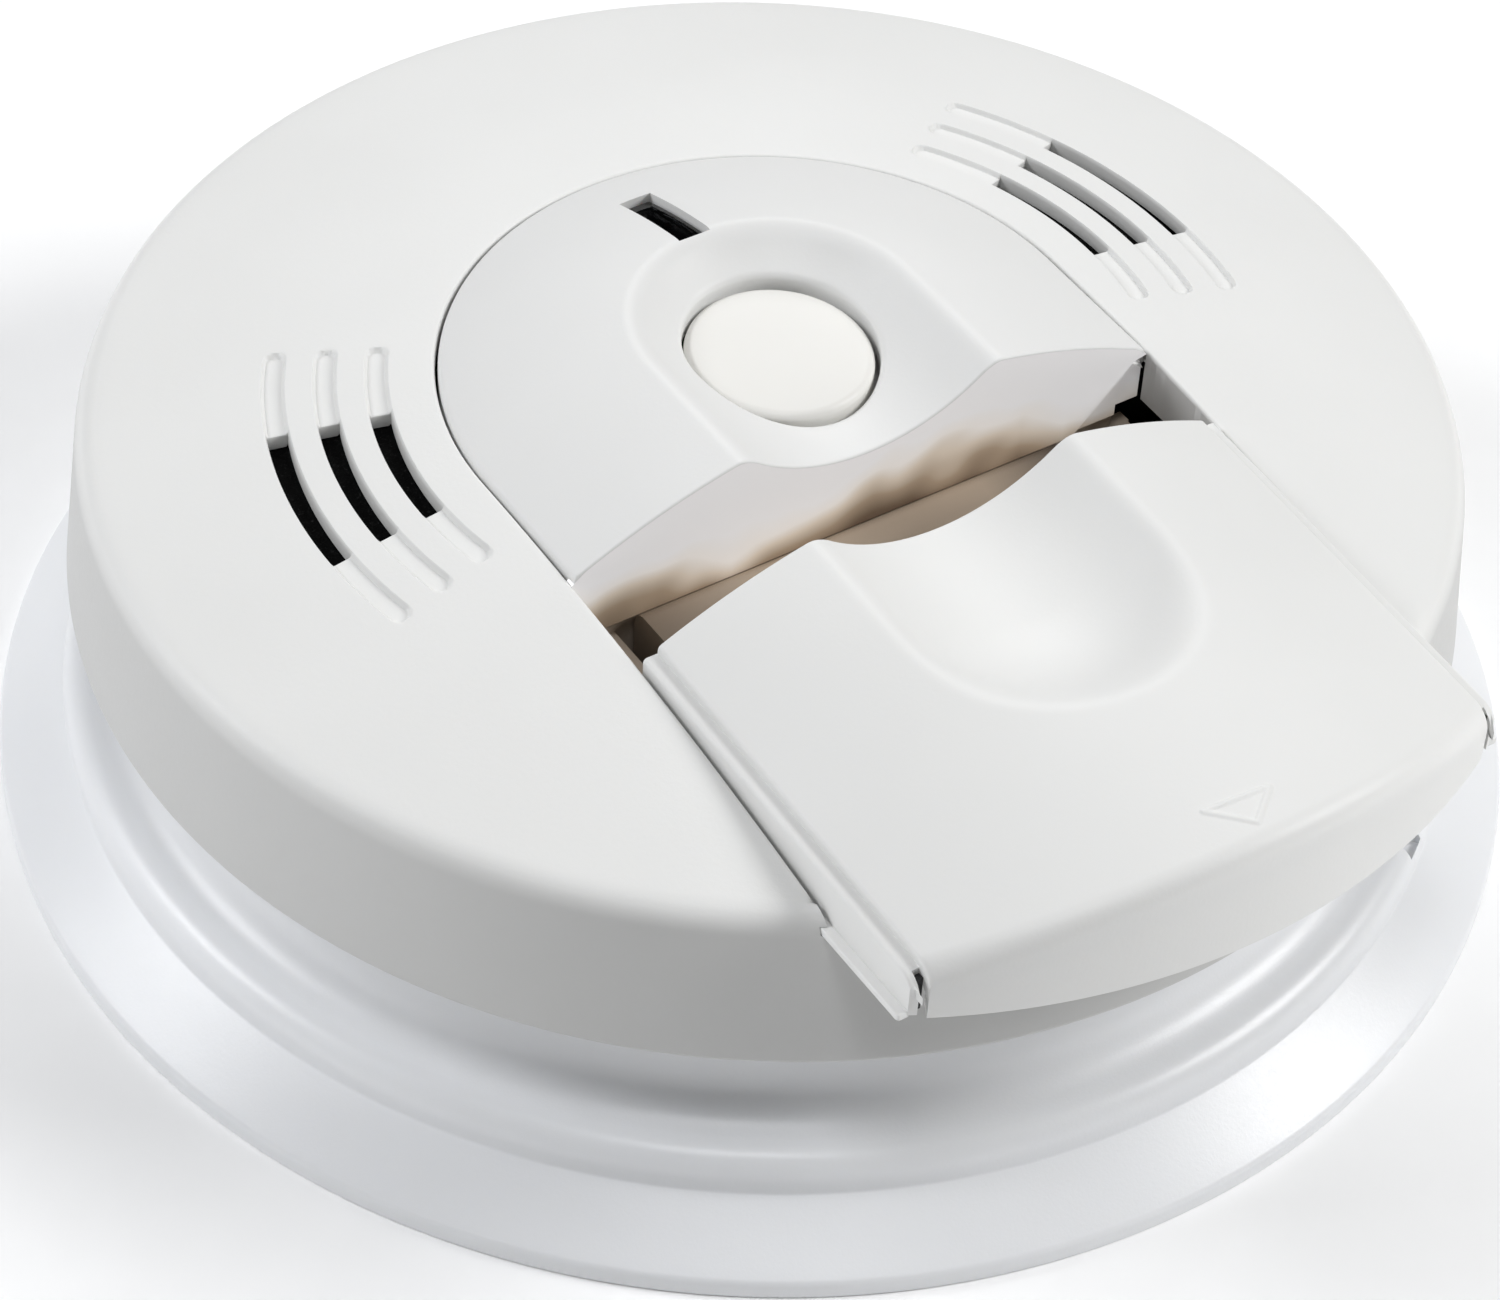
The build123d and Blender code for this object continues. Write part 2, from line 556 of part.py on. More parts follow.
def vent_screen(turn, holes):
    """A thin curved screen just under the slits of the cover."""
    gap, thick = 0.1, 0.8
    top = DOME_TOP - WALL - gap
    inner, outer = min(VENT_RADII) - 2.6, max(VENT_RADII) + 2.6
    section = make_face([
        Line((inner, dome_height(inner, top)), (outer, dome_height(outer, top))),
        Line((outer, dome_height(outer, top)), (outer, dome_height(outer, top) - thick)),
        Line((outer, dome_height(outer, top) - thick), (inner, dome_height(inner, top) - thick)),
        Line((inner, dome_height(inner, top) - thick), (inner, dome_height(inner, top))),
    ])
    start = turn - 14 if turn == 0 else turn - 36
    body = Rot(0, 0, start) * revolve(Plane.XZ * section, Axis.Z, 50)
    for radius in VENT_RADII:
        for number in range(holes):
            body -= rod(polar(radius, start + 18 + number * 2.4), 0.45, (30, 60))
    return body


parts["horn_screen"] = vent_screen(180, 6)
parts["vent_screen"] = vent_screen(0, 6)


# ---------------------------------------------------------------- smoke chamber
def make_chamber_cap():
    """A drum of slanting vanes, which let smoke in and keep light out."""
    low, top = CHAMBER_Z
    body = tube(CHAMBER_AT, CHAMBER_R, CHAMBER_INNER_R, CHAMBER_Z)
    body += rod(CHAMBER_AT, CHAMBER_R - 1, (top - CHAMBER_ROOF, top))
    for step in range(CHAMBER_VANES):
        turn = Rot(0, 0, step * 360 / CHAMBER_VANES)
        vane = Pos(CHAMBER_AT[0], CHAMBER_AT[1], 26.0) * turn * Pos(CHAMBER_INNER_R + 0.7, 0, 0)
        body -= vane * Box(3.4, 3.6, 12.0)
        body += vane * Pos(-1.6, 0, 3.2) * Rot(0, 0, 40) * Box(3.2, 0.9, 13.0)
    return body


parts["chamber_base"] = (
    rod(CHAMBER_AT, CHAMBER_R, (BOARD[1], CHAMBER_Z[0])) + tube(CHAMBER_AT, 9.0, 8.0, (CHAMBER_Z[0], 19.0)))
parts["chamber_cap"] = make_chamber_cap()
parts["insect_screen"] = tube(CHAMBER_AT, 11.0, 10.6, (CHAMBER_Z[0], CHAMBER_Z[1] - CHAMBER_ROOF))
parts["infrared_led"] = Pos(CHAMBER_AT[0] - 5.5, CHAMBER_AT[1], 20.6) * Rot(0, 90, 0) * (
    Cylinder(1.5, 3.4) + Pos(0, 0, 1.7) * Sphere(1.5))
diode_x, diode_y = CHAMBER_AT[0] + 2.4, CHAMBER_AT[1] + 4.8
parts["photodiode"] = block(
    (diode_x - 1.2, diode_x + 1.2), (diode_y - 1.8, diode_y + 1.8), (CHAMBER_Z[0], 21.4))


# ---------------------------------------------------------------- gas sensor and board components
parts["gas_sensor_can"] = (
    rod(SENSOR_AT, SENSOR_R, (BOARD[1], SENSOR_Z[1]))
    - rod(SENSOR_AT, SENSOR_BORE_R, (SENSOR_Z[0], SENSOR_Z[1] + 1)))
parts["gas_sensor_cap"] = tube(SENSOR_AT, SENSOR_BORE_R - 0.2, 1.2, (SENSOR_Z[0], SENSOR_CAP_TOP))
inlet_x, inlet_y = INLET_AT
inlet = block((inlet_x - 10, inlet_x + 10), (inlet_y - 6.5, inlet_y + 6.5), (BACK_FLOOR[0] + 0.2, 21.5))
parts["power_inlet"] = inlet - block(
    (inlet_x - 8.4, inlet_x + 8.4), (inlet_y - 4.9, inlet_y + 4.9), (0, 19.9))
parts["inlet_pins"] = Compound([
    block((inlet_x + x - 0.5, inlet_x + x + 0.5), (inlet_y - 1.3, inlet_y + 1.3), (13.0, 19.9))
    for x in (-5, 0, 5)])
parts["mains_capacitor"] = fillet(
    block((17, 33), (30, 38), (BOARD[1], 28.0)).edges().filter_by(Axis.Z), 0.8)
parts["smoothing_capacitors"] = Compound([
    rod(at, 4.0, (BOARD[1], 26.6)) - tube(at, 4.4, 3.7, (16.6, 17.2)) for at in ((-24, 40), (-35, 33))])
COIL_AT = (-42, -18)
parts["horn_coil"] = (
    tube(COIL_AT, 5.0, 2.0, (BOARD[1], 16.0)) + tube(COIL_AT, 4.2, 2.0, (16.0, 23.0))
    + tube(COIL_AT, 5.0, 2.0, (23.0, 24.4)))
parts["controller_chip"] = block((9, 19), (7, 17), (BOARD[1], 16.1))
parts["driver_chips"] = Compound([
    block((x - 2.5, x + 2.5), (y - 2, y + 2), (BOARD[1], 16.1)) for x, y in ((-18, -6), (-26, -4), (16, -6))])

os.makedirs("parts", exist_ok=True)
for name, shape in parts.items():
    export_step(shape, f"parts/{name}.step")
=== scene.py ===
"""Looks of a ceiling smoke and carbon monoxide alarm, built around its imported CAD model.

Shapes are worked out in millimetres, in the frame of the CAD model, and turned into metres when a mesh is
made. The alarm lies on the back of its bracket, +Z points out of the front cover and the battery door slides
to -Y.
"""
from math import acos, cos, degrees, pi, radians, sin, tan

import bmesh
import bpy
import numpy as np
from mathutils import Matrix, Vector


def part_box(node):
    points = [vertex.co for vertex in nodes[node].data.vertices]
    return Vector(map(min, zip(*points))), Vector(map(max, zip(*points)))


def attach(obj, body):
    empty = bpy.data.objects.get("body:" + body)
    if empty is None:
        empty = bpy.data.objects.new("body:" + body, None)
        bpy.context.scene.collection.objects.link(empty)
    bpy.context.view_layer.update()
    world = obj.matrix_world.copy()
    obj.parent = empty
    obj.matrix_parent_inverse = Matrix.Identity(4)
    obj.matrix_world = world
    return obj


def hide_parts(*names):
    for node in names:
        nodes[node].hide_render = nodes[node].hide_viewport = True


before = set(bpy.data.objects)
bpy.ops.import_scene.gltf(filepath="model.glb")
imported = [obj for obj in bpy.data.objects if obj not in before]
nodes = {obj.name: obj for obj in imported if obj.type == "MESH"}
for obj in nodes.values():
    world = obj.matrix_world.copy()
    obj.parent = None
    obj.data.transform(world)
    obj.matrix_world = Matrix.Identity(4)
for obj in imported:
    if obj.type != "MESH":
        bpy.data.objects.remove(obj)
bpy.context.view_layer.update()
MM = 0.001
SHARP = 32               # degrees between faces that makes an edge sharp
WELDS_PER_MM = 500       # points that round to the same step are one point


def low(node):
    """Lowest corner of a CAD node, in millimetres."""
    return [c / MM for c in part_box(node)[0]]


def high(node):
    return [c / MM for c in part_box(node)[1]]


# ------------------------------------------------------------------ driving sizes, in millimetres
BRACKET_R = high("mounting_bracket")[0]
NECK_TOP = high("mounting_bracket")[2]
COVER_BOTTOM_R = high("front_cover")[0]
COVER_BOTTOM = low("front_cover")[2]
COVER_TOP_R = 64.0
DOME_TOP = 45.5
DOME_RADIUS = 301.0
RIM_FILLET = 2.6
WALL = 1.2
ARCH_R = 31.0
ARCH_GAP = 0.25
ARCH_EDGE_Y = -15.0
HOOD_TOP = 51.5
HOOD_RADIUS = 68.0
DISH_BOTTOM = 45.2
DISH_RADIUS = 20.0
DISH_SOFTNESS = 1.3
DECK_TOP = 36.4
DECK_BACK_Y = -41.6
DECK_THICK = 1.8
SLOT_X = ARCH_R + ARCH_GAP
SLOT_WALL = 1.9
RAIL_X = (30.5, 31.75)
RAIL_Z = (36.92, 37.7)
RAIL_GAP = 0.08
RAIL_SLOT = (RAIL_Z[0] - RAIL_GAP, RAIL_Z[1] + RAIL_GAP)
CORNER_X = 28.7          # the openings in the slot's back corners
CORNER_FRONT_Y = -19.1
CORNER_TOP = 37.8
SKIRT_BOTTOM = 36.55
SKIRT_RECESS = 0.5
VENT_RADII = (36.6, 41.3, 46.0)
VENT_HALF = 1.15
VENT_FLOOR_HALF = 0.78
VENT_DEPTH = 0.45
VENT_ENDS = (-11.3, 33.7)    # degrees from the X axis
SLIT_HALF = 0.97
SLIT_ENDS = (-0.6, 21.3)
SLIT_ROUNDING = 0.22
BUTTON_Y = -0.5
BUTTON_X = -0.15
BUTTON_R = (8.6, 9.2)
BUTTON_HOLE_R = (8.95, 9.55)
DOOR_Y = high("battery_door")[1]
DOOR_OPEN = 10.7
DOOR_TILT = tan(radians(2.8))
DOOR_DROP = 0.4
DOOR_HALF = 30.8
PANEL_HALF = 29.35
DOOR_DISH_FRONT = -29.0
DOOR_BOTTOM = 36.9
DOOR_FILLET = 1.9
FLANGE_BOTTOM = 37.3
WEB_X = 30.1             # outer face of the side wall below its ledge


# ------------------------------------------------------------------ surfaces
def dome(radius, top=DOME_TOP):
    return top - DOME_RADIUS + np.sqrt(DOME_RADIUS**2 - radius**2)


def smooth_min(a, b, softness):
    share = np.clip(0.5 + 0.5 * (b - a) / softness, 0, 1)
    return b + (a - b) * share - softness * share * (1 - share)


def smooth_step(value, start, end):
    t = np.clip((value - start) / (end - start), 0, 1)
    return t * t * (3 - 2 * t)


def roll_off(distance, radius):
    """How far a rounded edge has dropped at a distance in from the edge."""
    inside = np.clip(radius - distance, 0, radius)
    return radius - np.sqrt(radius**2 - inside**2)


def hood(x, y, top=HOOD_TOP):
    return top - HOOD_RADIUS + np.sqrt(HOOD_RADIUS**2 - x**2 - np.maximum(y, 0) ** 2)


def dish(x, y, bottom=DISH_BOTTOM):
    across = np.minimum(x**2 + y**2, (DISH_RADIUS - 0.3) ** 2)
    return bottom + DISH_RADIUS - np.sqrt(DISH_RADIUS**2 - across)


def panel_height(x, y):
    return smooth_min(hood(x, y), dish(x, np.maximum(y, 0)), DISH_SOFTNESS)


def door_height(x, y):
    """Height of the battery door where it is at rest."""
    closed_y = y + DOOR_OPEN
    slope = DOOR_TILT * (closed_y - ARCH_EDGE_Y)
    dish_slope = DOOR_TILT * (np.maximum(closed_y, DOOR_DISH_FRONT) - ARCH_EDGE_Y)
    past_end = np.minimum(closed_y - DOOR_DISH_FRONT, 0)
    softness = DISH_SOFTNESS + 1.5 * smooth_step(-past_end, 0, 12)
    top = smooth_min(hood(x, 0 * y) - DOOR_DROP + slope, dish(x, past_end) - DOOR_DROP + dish_slope, softness)
    return top - roll_off(COVER_TOP_R - np.hypot(x, closed_y), DOOR_FILLET)


def door_front(x):
    return -DOOR_OPEN - np.sqrt(COVER_TOP_R**2 - x**2)


def arch_distance(x, y):
    """Distance outwards from the outline shared by the control panel and the cover's opening."""
    return np.where(y > 0, np.hypot(x, y), np.abs(x)) - ARCH_R


def vent_drop(x, y):
    """Depth of the shallow grooves and of the rounded edges of their slits."""
    radius = np.hypot(x, y)
    turn = np.degrees(np.arctan2(y, np.abs(x)))
    drop = 0 * x
    for middle in VENT_RADII:
        nearest = np.clip(turn, *VENT_ENDS)
        along = radius * np.sin(np.radians(turn - nearest))
        reach = np.where(turn == nearest, radius, radius * np.cos(np.radians(turn - nearest)))
        across = reach - middle
        distance = np.hypot(along, across)
        groove = VENT_DEPTH * (1 - smooth_step(distance, VENT_FLOOR_HALF, VENT_HALF))
        past = radius * np.radians(np.abs(turn - np.clip(turn, *SLIT_ENDS)))
        out = np.hypot(past, np.maximum(np.abs(radius - middle) - SLIT_HALF, 0))
        inside = (np.abs(radius - middle) < VENT_HALF + 0.2) & (np.abs(turn - sum(SLIT_ENDS) / 2) < 13)
        drop += groove + np.where(inside, roll_off(out, SLIT_ROUNDING), 0)
    return drop


# ------------------------------------------------------------------ mesh making
def grid_cells(rows, columns, wrap=False):
    """Corner numbers of each cell of a grid of points stored row by row."""
    row = np.arange(rows - 1)[:, None]
    column = np.arange(columns if wrap else columns - 1)[None, :]
    after = (column + 1) % columns
    return np.stack([row * columns + column, row * columns + after,
                     (row + 1) * columns + after, (row + 1) * columns + column], -1).reshape(-1, 4)


class Skin:
    """Patches of points in millimetres, which become one mesh."""

    def __init__(self):
        self.points, self.offsets, self.cells, self.count = [], [], [], 0

    def grid(self, points, offset=(0, 0, 0), keep=None, wrap=False):
        rows, columns = points.shape[:2]
        cells = grid_cells(rows, columns, wrap)
        if keep is not None:
            cells = cells[keep.reshape(-1)]
        self.points.append(points.reshape(-1, 3))
        self.offsets.append(np.broadcast_to(np.asarray(offset, float), points.shape).reshape(-1, 3))
        self.cells.append(cells + self.count)
        self.count += rows * columns
        return self

    def mesh(self, name, material, body, node, slot, thick=False):
        """Weld the patches, give them thickness along their offsets, and make the object."""
        points = np.concatenate(self.points)
        _, first, home = np.unique(np.round(points * WELDS_PER_MM).astype(np.int64), axis=0,
                                   return_index=True, return_inverse=True)
        home = home.reshape(-1)
        offsets = np.zeros((len(first), 3))
        shares = np.bincount(home, minlength=len(first))[:, None]
        np.add.at(offsets, home, np.concatenate(self.offsets))
        points, offsets = points[first], offsets / shares
        cells = home[np.concatenate(self.cells)]
        distinct = 1 + (np.diff(np.sort(cells, axis=1), axis=1) > 0).sum(axis=1)
        cells = cells[distinct > 2]
        if thick:
            edges = np.concatenate([cells[:, [k, (k + 1) % 4]] for k in range(4)])
            edges = edges[edges[:, 0] != edges[:, 1]]
            ordered = np.sort(edges, axis=1)
            _, index, times = np.unique(ordered, axis=0, return_index=True, return_counts=True)
            rim = edges[index[times == 1]]
            under = len(points)
            points = np.concatenate([points, points + offsets])
            closing = np.column_stack([rim[:, 1], rim[:, 0], rim[:, 0] + under, rim[:, 1] + under])
            cells = np.concatenate([cells, cells[:, ::-1] + under, closing])
        faces = [[c for k, c in enumerate(cell) if c != cell[k - 1]] for cell in cells.tolist()]
        return piece(name, points, faces, material, body, node, slot)


def new_object(name, data):
    """An object of the scene."""
    obj = bpy.data.objects.new(name, data)
    bpy.context.scene.collection.objects.link(obj)
    return obj


def mesh_from(name, points, faces):
    """A mesh from points in millimetres."""
    mesh = bpy.data.meshes.new(name)
    mesh.from_pydata((np.asarray(points) * MM).tolist(), [], faces)
    return mesh


def piece(name, points, faces, material, body, node, slot):
    """A smooth-shaded object that rides on a body in place of a CAD node."""
    mesh = mesh_from(name, points, faces)
    mesh.validate()
    mesh.shade_smooth()
    mesh.set_sharp_from_angle(angle=radians(SHARP))
    mesh.materials.append(material)
    obj = new_object(name, mesh)
    tidy_normals(mesh)
    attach(obj, body)
    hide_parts(node)
    return obj


def tidy_normals(mesh):
    """Turn all faces of a mesh outwards."""
    work = bmesh.new()
    work.from_mesh(mesh)
    bmesh.ops.recalc_face_normals(work, faces=work.faces)
    work.to_mesh(mesh)
    work.free()


def block(x, y, z):
    """Corners of an upright block in plan, and its heights."""
    return [(x[0], y[0]), (x[1], y[0]), (x[1], y[1]), (x[0], y[1])], z


def ring_sector(inner, outer, middle, width, z):
    """A sector of a ring in plan, and its heights."""
    turn = np.radians(np.linspace(middle - width / 2, middle + width / 2, 24))
    out = [(outer * cos(t), outer * sin(t)) for t in turn]
    return out + [(inner * cos(t), inner * sin(t)) for t in turn[::-1]], z


def round_slot(x, y, length, width, z, upright=False):
    """A slot with round ends in plan, and its heights."""
    turn = np.radians(np.linspace(-90, 90, 13))
    half = [((length - width) / 2 + width / 2 * cos(t), width / 2 * sin(t)) for t in turn]
    outline = half + [(-a, -b) for a, b in half]
    return [(x - b, y + a) if upright else (x + a, y + b) for a, b in outline], z


def prisms(blocks):
    """Points and faces of upright blocks from (plan outline, heights) pairs."""
    points, faces = [], []
    for outline, heights in blocks:
        start, count = len(points), len(outline)
        points += [(x, y, z) for z in heights for x, y in outline]
        lower = [start + k for k in range(count)]
        upper = [start + count + k for k in range(count)]
        faces += [tuple(lower[::-1]), tuple(upper)]
        faces += [(lower[k], lower[(k + 1) % count], upper[(k + 1) % count], upper[k]) for k in range(count)]
    return points, faces


def cut(obj, *blocks):
    """Take upright blocks out of a piece."""
    tool = new_object("cutter", mesh_from("cutter", *prisms(blocks)))
    step = obj.modifiers.new("cut", "BOOLEAN")
    step.operation, step.solver, step.object = "DIFFERENCE", "EXACT", tool
    bpy.context.view_layer.update()
    shape = bpy.data.meshes.new_from_object(obj.evaluated_get(bpy.context.evaluated_depsgraph_get()))
    obj.modifiers.clear()
    obj.data = shape
    shape.set_sharp_from_angle(angle=radians(SHARP))
    bpy.data.objects.remove(tool)


def xyz(x, y, z):
    """Points from coordinates that are broadcast against each other."""
    x, y, z = np.broadcast_arrays(x, y, z)
    return np.stack([x, y, z], -1).astype(float)


def lathe(outline, steps):
    """Points of a closed (radius, height) outline turned about the Z axis."""
    turn = np.linspace(0, 2 * pi, steps, endpoint=False)[None, :]
    outline = np.array(list(outline) + [outline[0]])
    radius, height = outline[:, :1], outline[:, 1:]
    return xyz(radius * np.cos(turn), radius * np.sin(turn), height)


def stations(*spans):
    """Numbers from (start, end, step) spans, without repeats."""
    values = [np.linspace(a, b, max(1, int(round(abs(b - a) / step))) + 1) for a, b, step in spans]
    return np.array(sorted(set(np.round(np.concatenate(values), 6))))


def rounded_corner(before, corner, after, radius, steps=6):
    """The arc that rounds a corner of an outline."""
    before, corner, after = (np.array(p, float) for p in (before, corner, after))
    back = (before - corner) / np.linalg.norm(before - corner)
    on = (after - corner) / np.linalg.norm(after - corner)
    half = acos(np.clip(back @ on, -1, 1)) / 2
    reach = radius / tan(half)
    start, end, weight = corner + back * reach, corner + on * reach, sin(half)
    points = []
    for t in np.linspace(0, 1, steps + 1):
        a, b, c = (1 - t) ** 2, 2 * weight * t * (1 - t), t**2
        points.append(tuple((a * start + b * corner + c * end) / (a + b + c)))
    return points


def rounded_outline(corners, steps=6):
    """An outline from (radius, height, rounding) corners."""
    outline = []
    for k, (radius, height, rounding) in enumerate(corners):
        if rounding:
            outline += rounded_corner(corners[k - 1][:2], (radius, height),
                                      corners[(k + 1) % len(corners)][:2], rounding, steps)
        else:
            outline.append((radius, height))
    return outline


# ------------------------------------------------------------------ materials
def new_material(name):
    material = bpy.data.materials.new(name)
    material.use_nodes = True
    return material, material.node_tree.nodes["Principled BSDF"]


def link(material, output, target):
    material.node_tree.links.new(output, target)


def add_node(material, kind, links=(), **values):
    """A shader node with its inputs set, and its links as (input, output socket) pairs."""
    node = material.node_tree.nodes.new(kind)
    for key, value in values.items():
        if key in node.inputs:
            node.inputs[key].default_value = value
        else:
            setattr(node, key, value)
    for name, output in links:
        link(material, output, node.inputs[name])
    return node


def component(material, kind, axis):
    """One coordinate of the object's position (kind Object) or of its facing (kind Normal)."""
    place = add_node(material, "ShaderNodeTexCoord")
    parts = add_node(material, "ShaderNodeSeparateXYZ", [("Vector", place.outputs[kind])])
    return parts.outputs[axis]


def map_range(material, value, start, end, lowest=0.0, highest=1.0):
    """A value between start and end mapped to another range."""
    node = add_node(material, "ShaderNodeMapRange", [("Value", value)])
    for key, number in (("From Min", start), ("From Max", end), ("To Min", lowest), ("To Max", highest)):
        node.inputs[key].default_value = number
    return node.outputs["Result"]


def noise(material, size_mm, detail=3.0, rough=0.55, stretch=(1, 1, 1)):
    """Noise whose features are about a size in millimetres."""
    place = add_node(material, "ShaderNodeTexCoord")
    mapping = add_node(material, "ShaderNodeMapping", [("Vector", place.outputs["Object"])])
    mapping.inputs["Scale"].default_value = [s / (size_mm * MM) for s in stretch]
    return add_node(material, "ShaderNodeTexNoise", [("Vector", mapping.outputs["Vector"])],
                    Scale=1.0, Detail=detail, Roughness=rough).outputs["Fac"]


def ramp(material, factor, *stops):
    """A colour ramp from (position, colour) stops."""
    node = add_node(material, "ShaderNodeValToRGB", [("Fac", factor)])
    while len(node.color_ramp.elements) < len(stops):
        node.color_ramp.elements.new(0.5)
    for element, (position, colour) in zip(node.color_ramp.elements, stops):
        element.position = position
        element.color = (*colour, 1)
    return node.outputs["Color"]


def spread(material, factor, lowest, highest):
    """The factor's middle half mapped to a range of values."""
    return map_range(material, factor, 0.3, 0.7, lowest, highest)


def bump(material, height, strength, depth_mm, under=None):
    links = [("Height", height)] + ([("Normal", under)] if under else [])
    node = add_node(material, "ShaderNodeBump", links, Strength=strength, Distance=depth_mm * MM)
    return node.outputs["Normal"]


def finish_surface(material, shader, colour, roughness, normal):
    """Connect a material's colour, roughness and bump."""
    link(material, colour, shader.inputs["Base Color"])
    link(material, roughness, shader.inputs["Roughness"])
    link(material, normal, shader.inputs["Normal"])


def moulded(name, colour, rough=(0.42, 0.5), grain_mm=0.45, grain_depth=0.02, tint=0.012, coat=0.0,
            scatter=0.06, painted_side_shade=1.0):
    """Moulded plastic: fine grain over slow unevenness, a faint change of tone, and upright faces darkened as
    painted shade.
    """
    material, shader = new_material(name)
    slow = noise(material, 26, 2)
    fine = noise(material, grain_mm, 2.5, 0.6)
    light = tuple(min(1, c + tint) for c in colour)
    dark = tuple(max(0, c - tint) for c in colour)
    # painted shade: the colour of upright faces is scaled down by this factor, standing for the weaker light
    # that falls on them
    upright = map_range(material, component(material, "Normal", "Z"), 0.1, 0.7, painted_side_shade, 1.0)
    toned = add_node(material, "ShaderNodeVectorMath", operation="SCALE")
    link(material, ramp(material, slow, (0.3, dark), (0.7, light)), toned.inputs["Vector"])
    link(material, upright, toned.inputs["Scale"])
    soft = bump(material, slow, 0.25, 0.08)
    finish_surface(material, shader, toned.outputs["Vector"], spread(material, fine, *rough),
                   bump(material, fine, 0.6, grain_depth, soft))
    shader.inputs["Specular IOR Level"].default_value = 0.4
    shader.inputs["Coat Weight"].default_value = coat
    shader.inputs["Coat Roughness"].default_value = 0.25
    shader.inputs["Subsurface Weight"].default_value = scatter
    shader.inputs["Subsurface Radius"].default_value = (0.002, 0.0018, 0.0015)
    shader.inputs["Subsurface Scale"].default_value = 0.5
    return material


def metal(name, colour, rough=(0.22, 0.38), brushed=(1, 1, 1), depth=0.01):
    """Plated or drawn metal with fine scratches."""
    material, shader = new_material(name)
    lines = noise(material, 0.6, 3, 0.6, brushed)
    stain = noise(material, 9, 3)
    dark = tuple(c * 0.82 for c in colour)
    finish_surface(material, shader, ramp(material, stain, (0.3, dark), (0.7, colour)),
                   spread(material, lines, *rough), bump(material, lines, 0.5, depth))
    shader.inputs["Metallic"].default_value = 1.0
    return material


def speckled_screen():
    """Black filter cloth with pale specks between its fibres."""
    material, shader = new_material("screen_cloth")
    specks = noise(material, 0.32, 2, 0.7)
    weave = noise(material, 0.7, 3)
    colour = ramp(material, specks, *[(at, (level, level, level)) for at, level in (
        (0.55, 0.003), (0.68, 0.012), (0.78, 0.06))])
    finish_surface(material, shader, colour, spread(material, weave, 0.75, 0.95),
                   bump(material, specks, 1.0, 0.15))
    shader.inputs["Specular IOR Level"].default_value = 0.1
    return material


def battery_wrap():
    """Copper wrap, darkened at one end as painted shade and black at the other, with wrinkled foil."""
    material, shader = new_material("battery_wrap")
    along = map_range(material, component(material, "Object", "X"), -0.024, 0.022)
    # painted shade: the dark brown at the left end stands for the shade in the bay's corner
    copper, black, shade = (0.50, 0.41, 0.32), (0.05, 0.038, 0.03), (0.26, 0.205, 0.155)
    wrap = ramp(material, along, (0.0, shade), (0.36, copper), (0.78, copper), (0.98, black))
    wrinkle = noise(material, 3.0, 4)
    fine = noise(material, 0.5, 2)
    finish_surface(material, shader, wrap, spread(material, fine, 0.45, 0.55),
                   bump(material, wrinkle, 0.1, 0.05))
    shader.inputs["Metallic"].default_value = 0.15
    return material


def clear_lens():
    """Dark clear plastic with a faint ripple."""
    material, shader = new_material("lens_plastic")
    ripple = noise(material, 2.5, 2)
    colour = ramp(material, ripple, (0.3, (0.10, 0.105, 0.11)), (0.7, (0.13, 0.135, 0.14)))
    finish_surface(material, shader, colour, spread(material, ripple, 0.03, 0.06),
                   bump(material, ripple, 0.4, 0.1))
    shader.inputs["Transmission Weight"].default_value = 1.0
    shader.inputs["IOR"].default_value = 1.49
    return material


def board_mask():
    """Green solder mask with faint copper tracks beneath it."""
    material, shader = new_material("solder_mask")
    place = add_node(material, "ShaderNodeTexCoord")
    tracks = add_node(material, "ShaderNodeTexBrick", [("Vector", place.outputs["Object"])], Scale=60.0)
    tracks.inputs["Color1"].default_value = (0.012, 0.10, 0.035, 1)
    tracks.inputs["Color2"].default_value = (0.016, 0.13, 0.045, 1)
    tracks.inputs["Mortar"].default_value = (0.03, 0.20, 0.07, 1)
    tracks.inputs["Mortar Size"].default_value = 0.03
    fine = noise(material, 0.5)
    finish_surface(material, shader, tracks.outputs["Color"], spread(material, fine, 0.25, 0.4),
                   bump(material, tracks.outputs["Fac"], 0.4, 0.05))
    return material


def bay_painted_light_plastic():
    """Glossy white plastic, painted low down with a warm band as painted reflection of the battery that
    darkens to painted shade at the bottom, and made to glow in the same colour as painted light.
    """
    material, shader = new_material("bay_painted_light_plastic")
    across = map_range(material, component(material, "Object", "X"), -0.031, 0.031)
    # painted reflection and shade: this outline moves the band's edge up and down across the bay
    levels = ramp(material, across, *[(at, (level, level, level)) for at, level in (
        (0.0, 0.62), (0.12, 0.58), (0.27, 0.24), (0.40, 0.42),
        (0.55, 0.74), (0.66, 0.72), (0.78, 0.58), (0.86, 0.14))])
    height = component(material, "Object", "Z")
    for shape, amount in ((levels, -0.006), (noise(material, 4.5, 0), -0.004)):
        step = add_node(material, "ShaderNodeMath", [("Value", shape)], operation="MULTIPLY_ADD")
        step.inputs[1].default_value = amount
        link(material, height, step.inputs[2])
        height = step.outputs["Value"]
    band = map_range(material, height, 0.0300, 0.0390)
    # painted reflection of the battery, warm brown low down and nearly black at the bottom as painted shade
    colour = ramp(material, band, (0.0, (0.13, 0.09, 0.06)), (0.26, (0.34, 0.26, 0.185)),
                  (0.48, (0.62, 0.54, 0.45)), (0.64, (0.80, 0.765, 0.73)), (0.85, (0.82, 0.81, 0.815)))
    # painted light: the skirt glows in its painted colour, though it is no lamp
    link(material, colour, shader.inputs["Emission Color"])
    shader.inputs["Emission Strength"].default_value = 0.28
    fine = noise(material, 0.8, 2)
    finish_surface(material, shader, colour, spread(material, fine, 0.18, 0.24),
                   bump(material, fine, 0.4, 0.006))
    return material


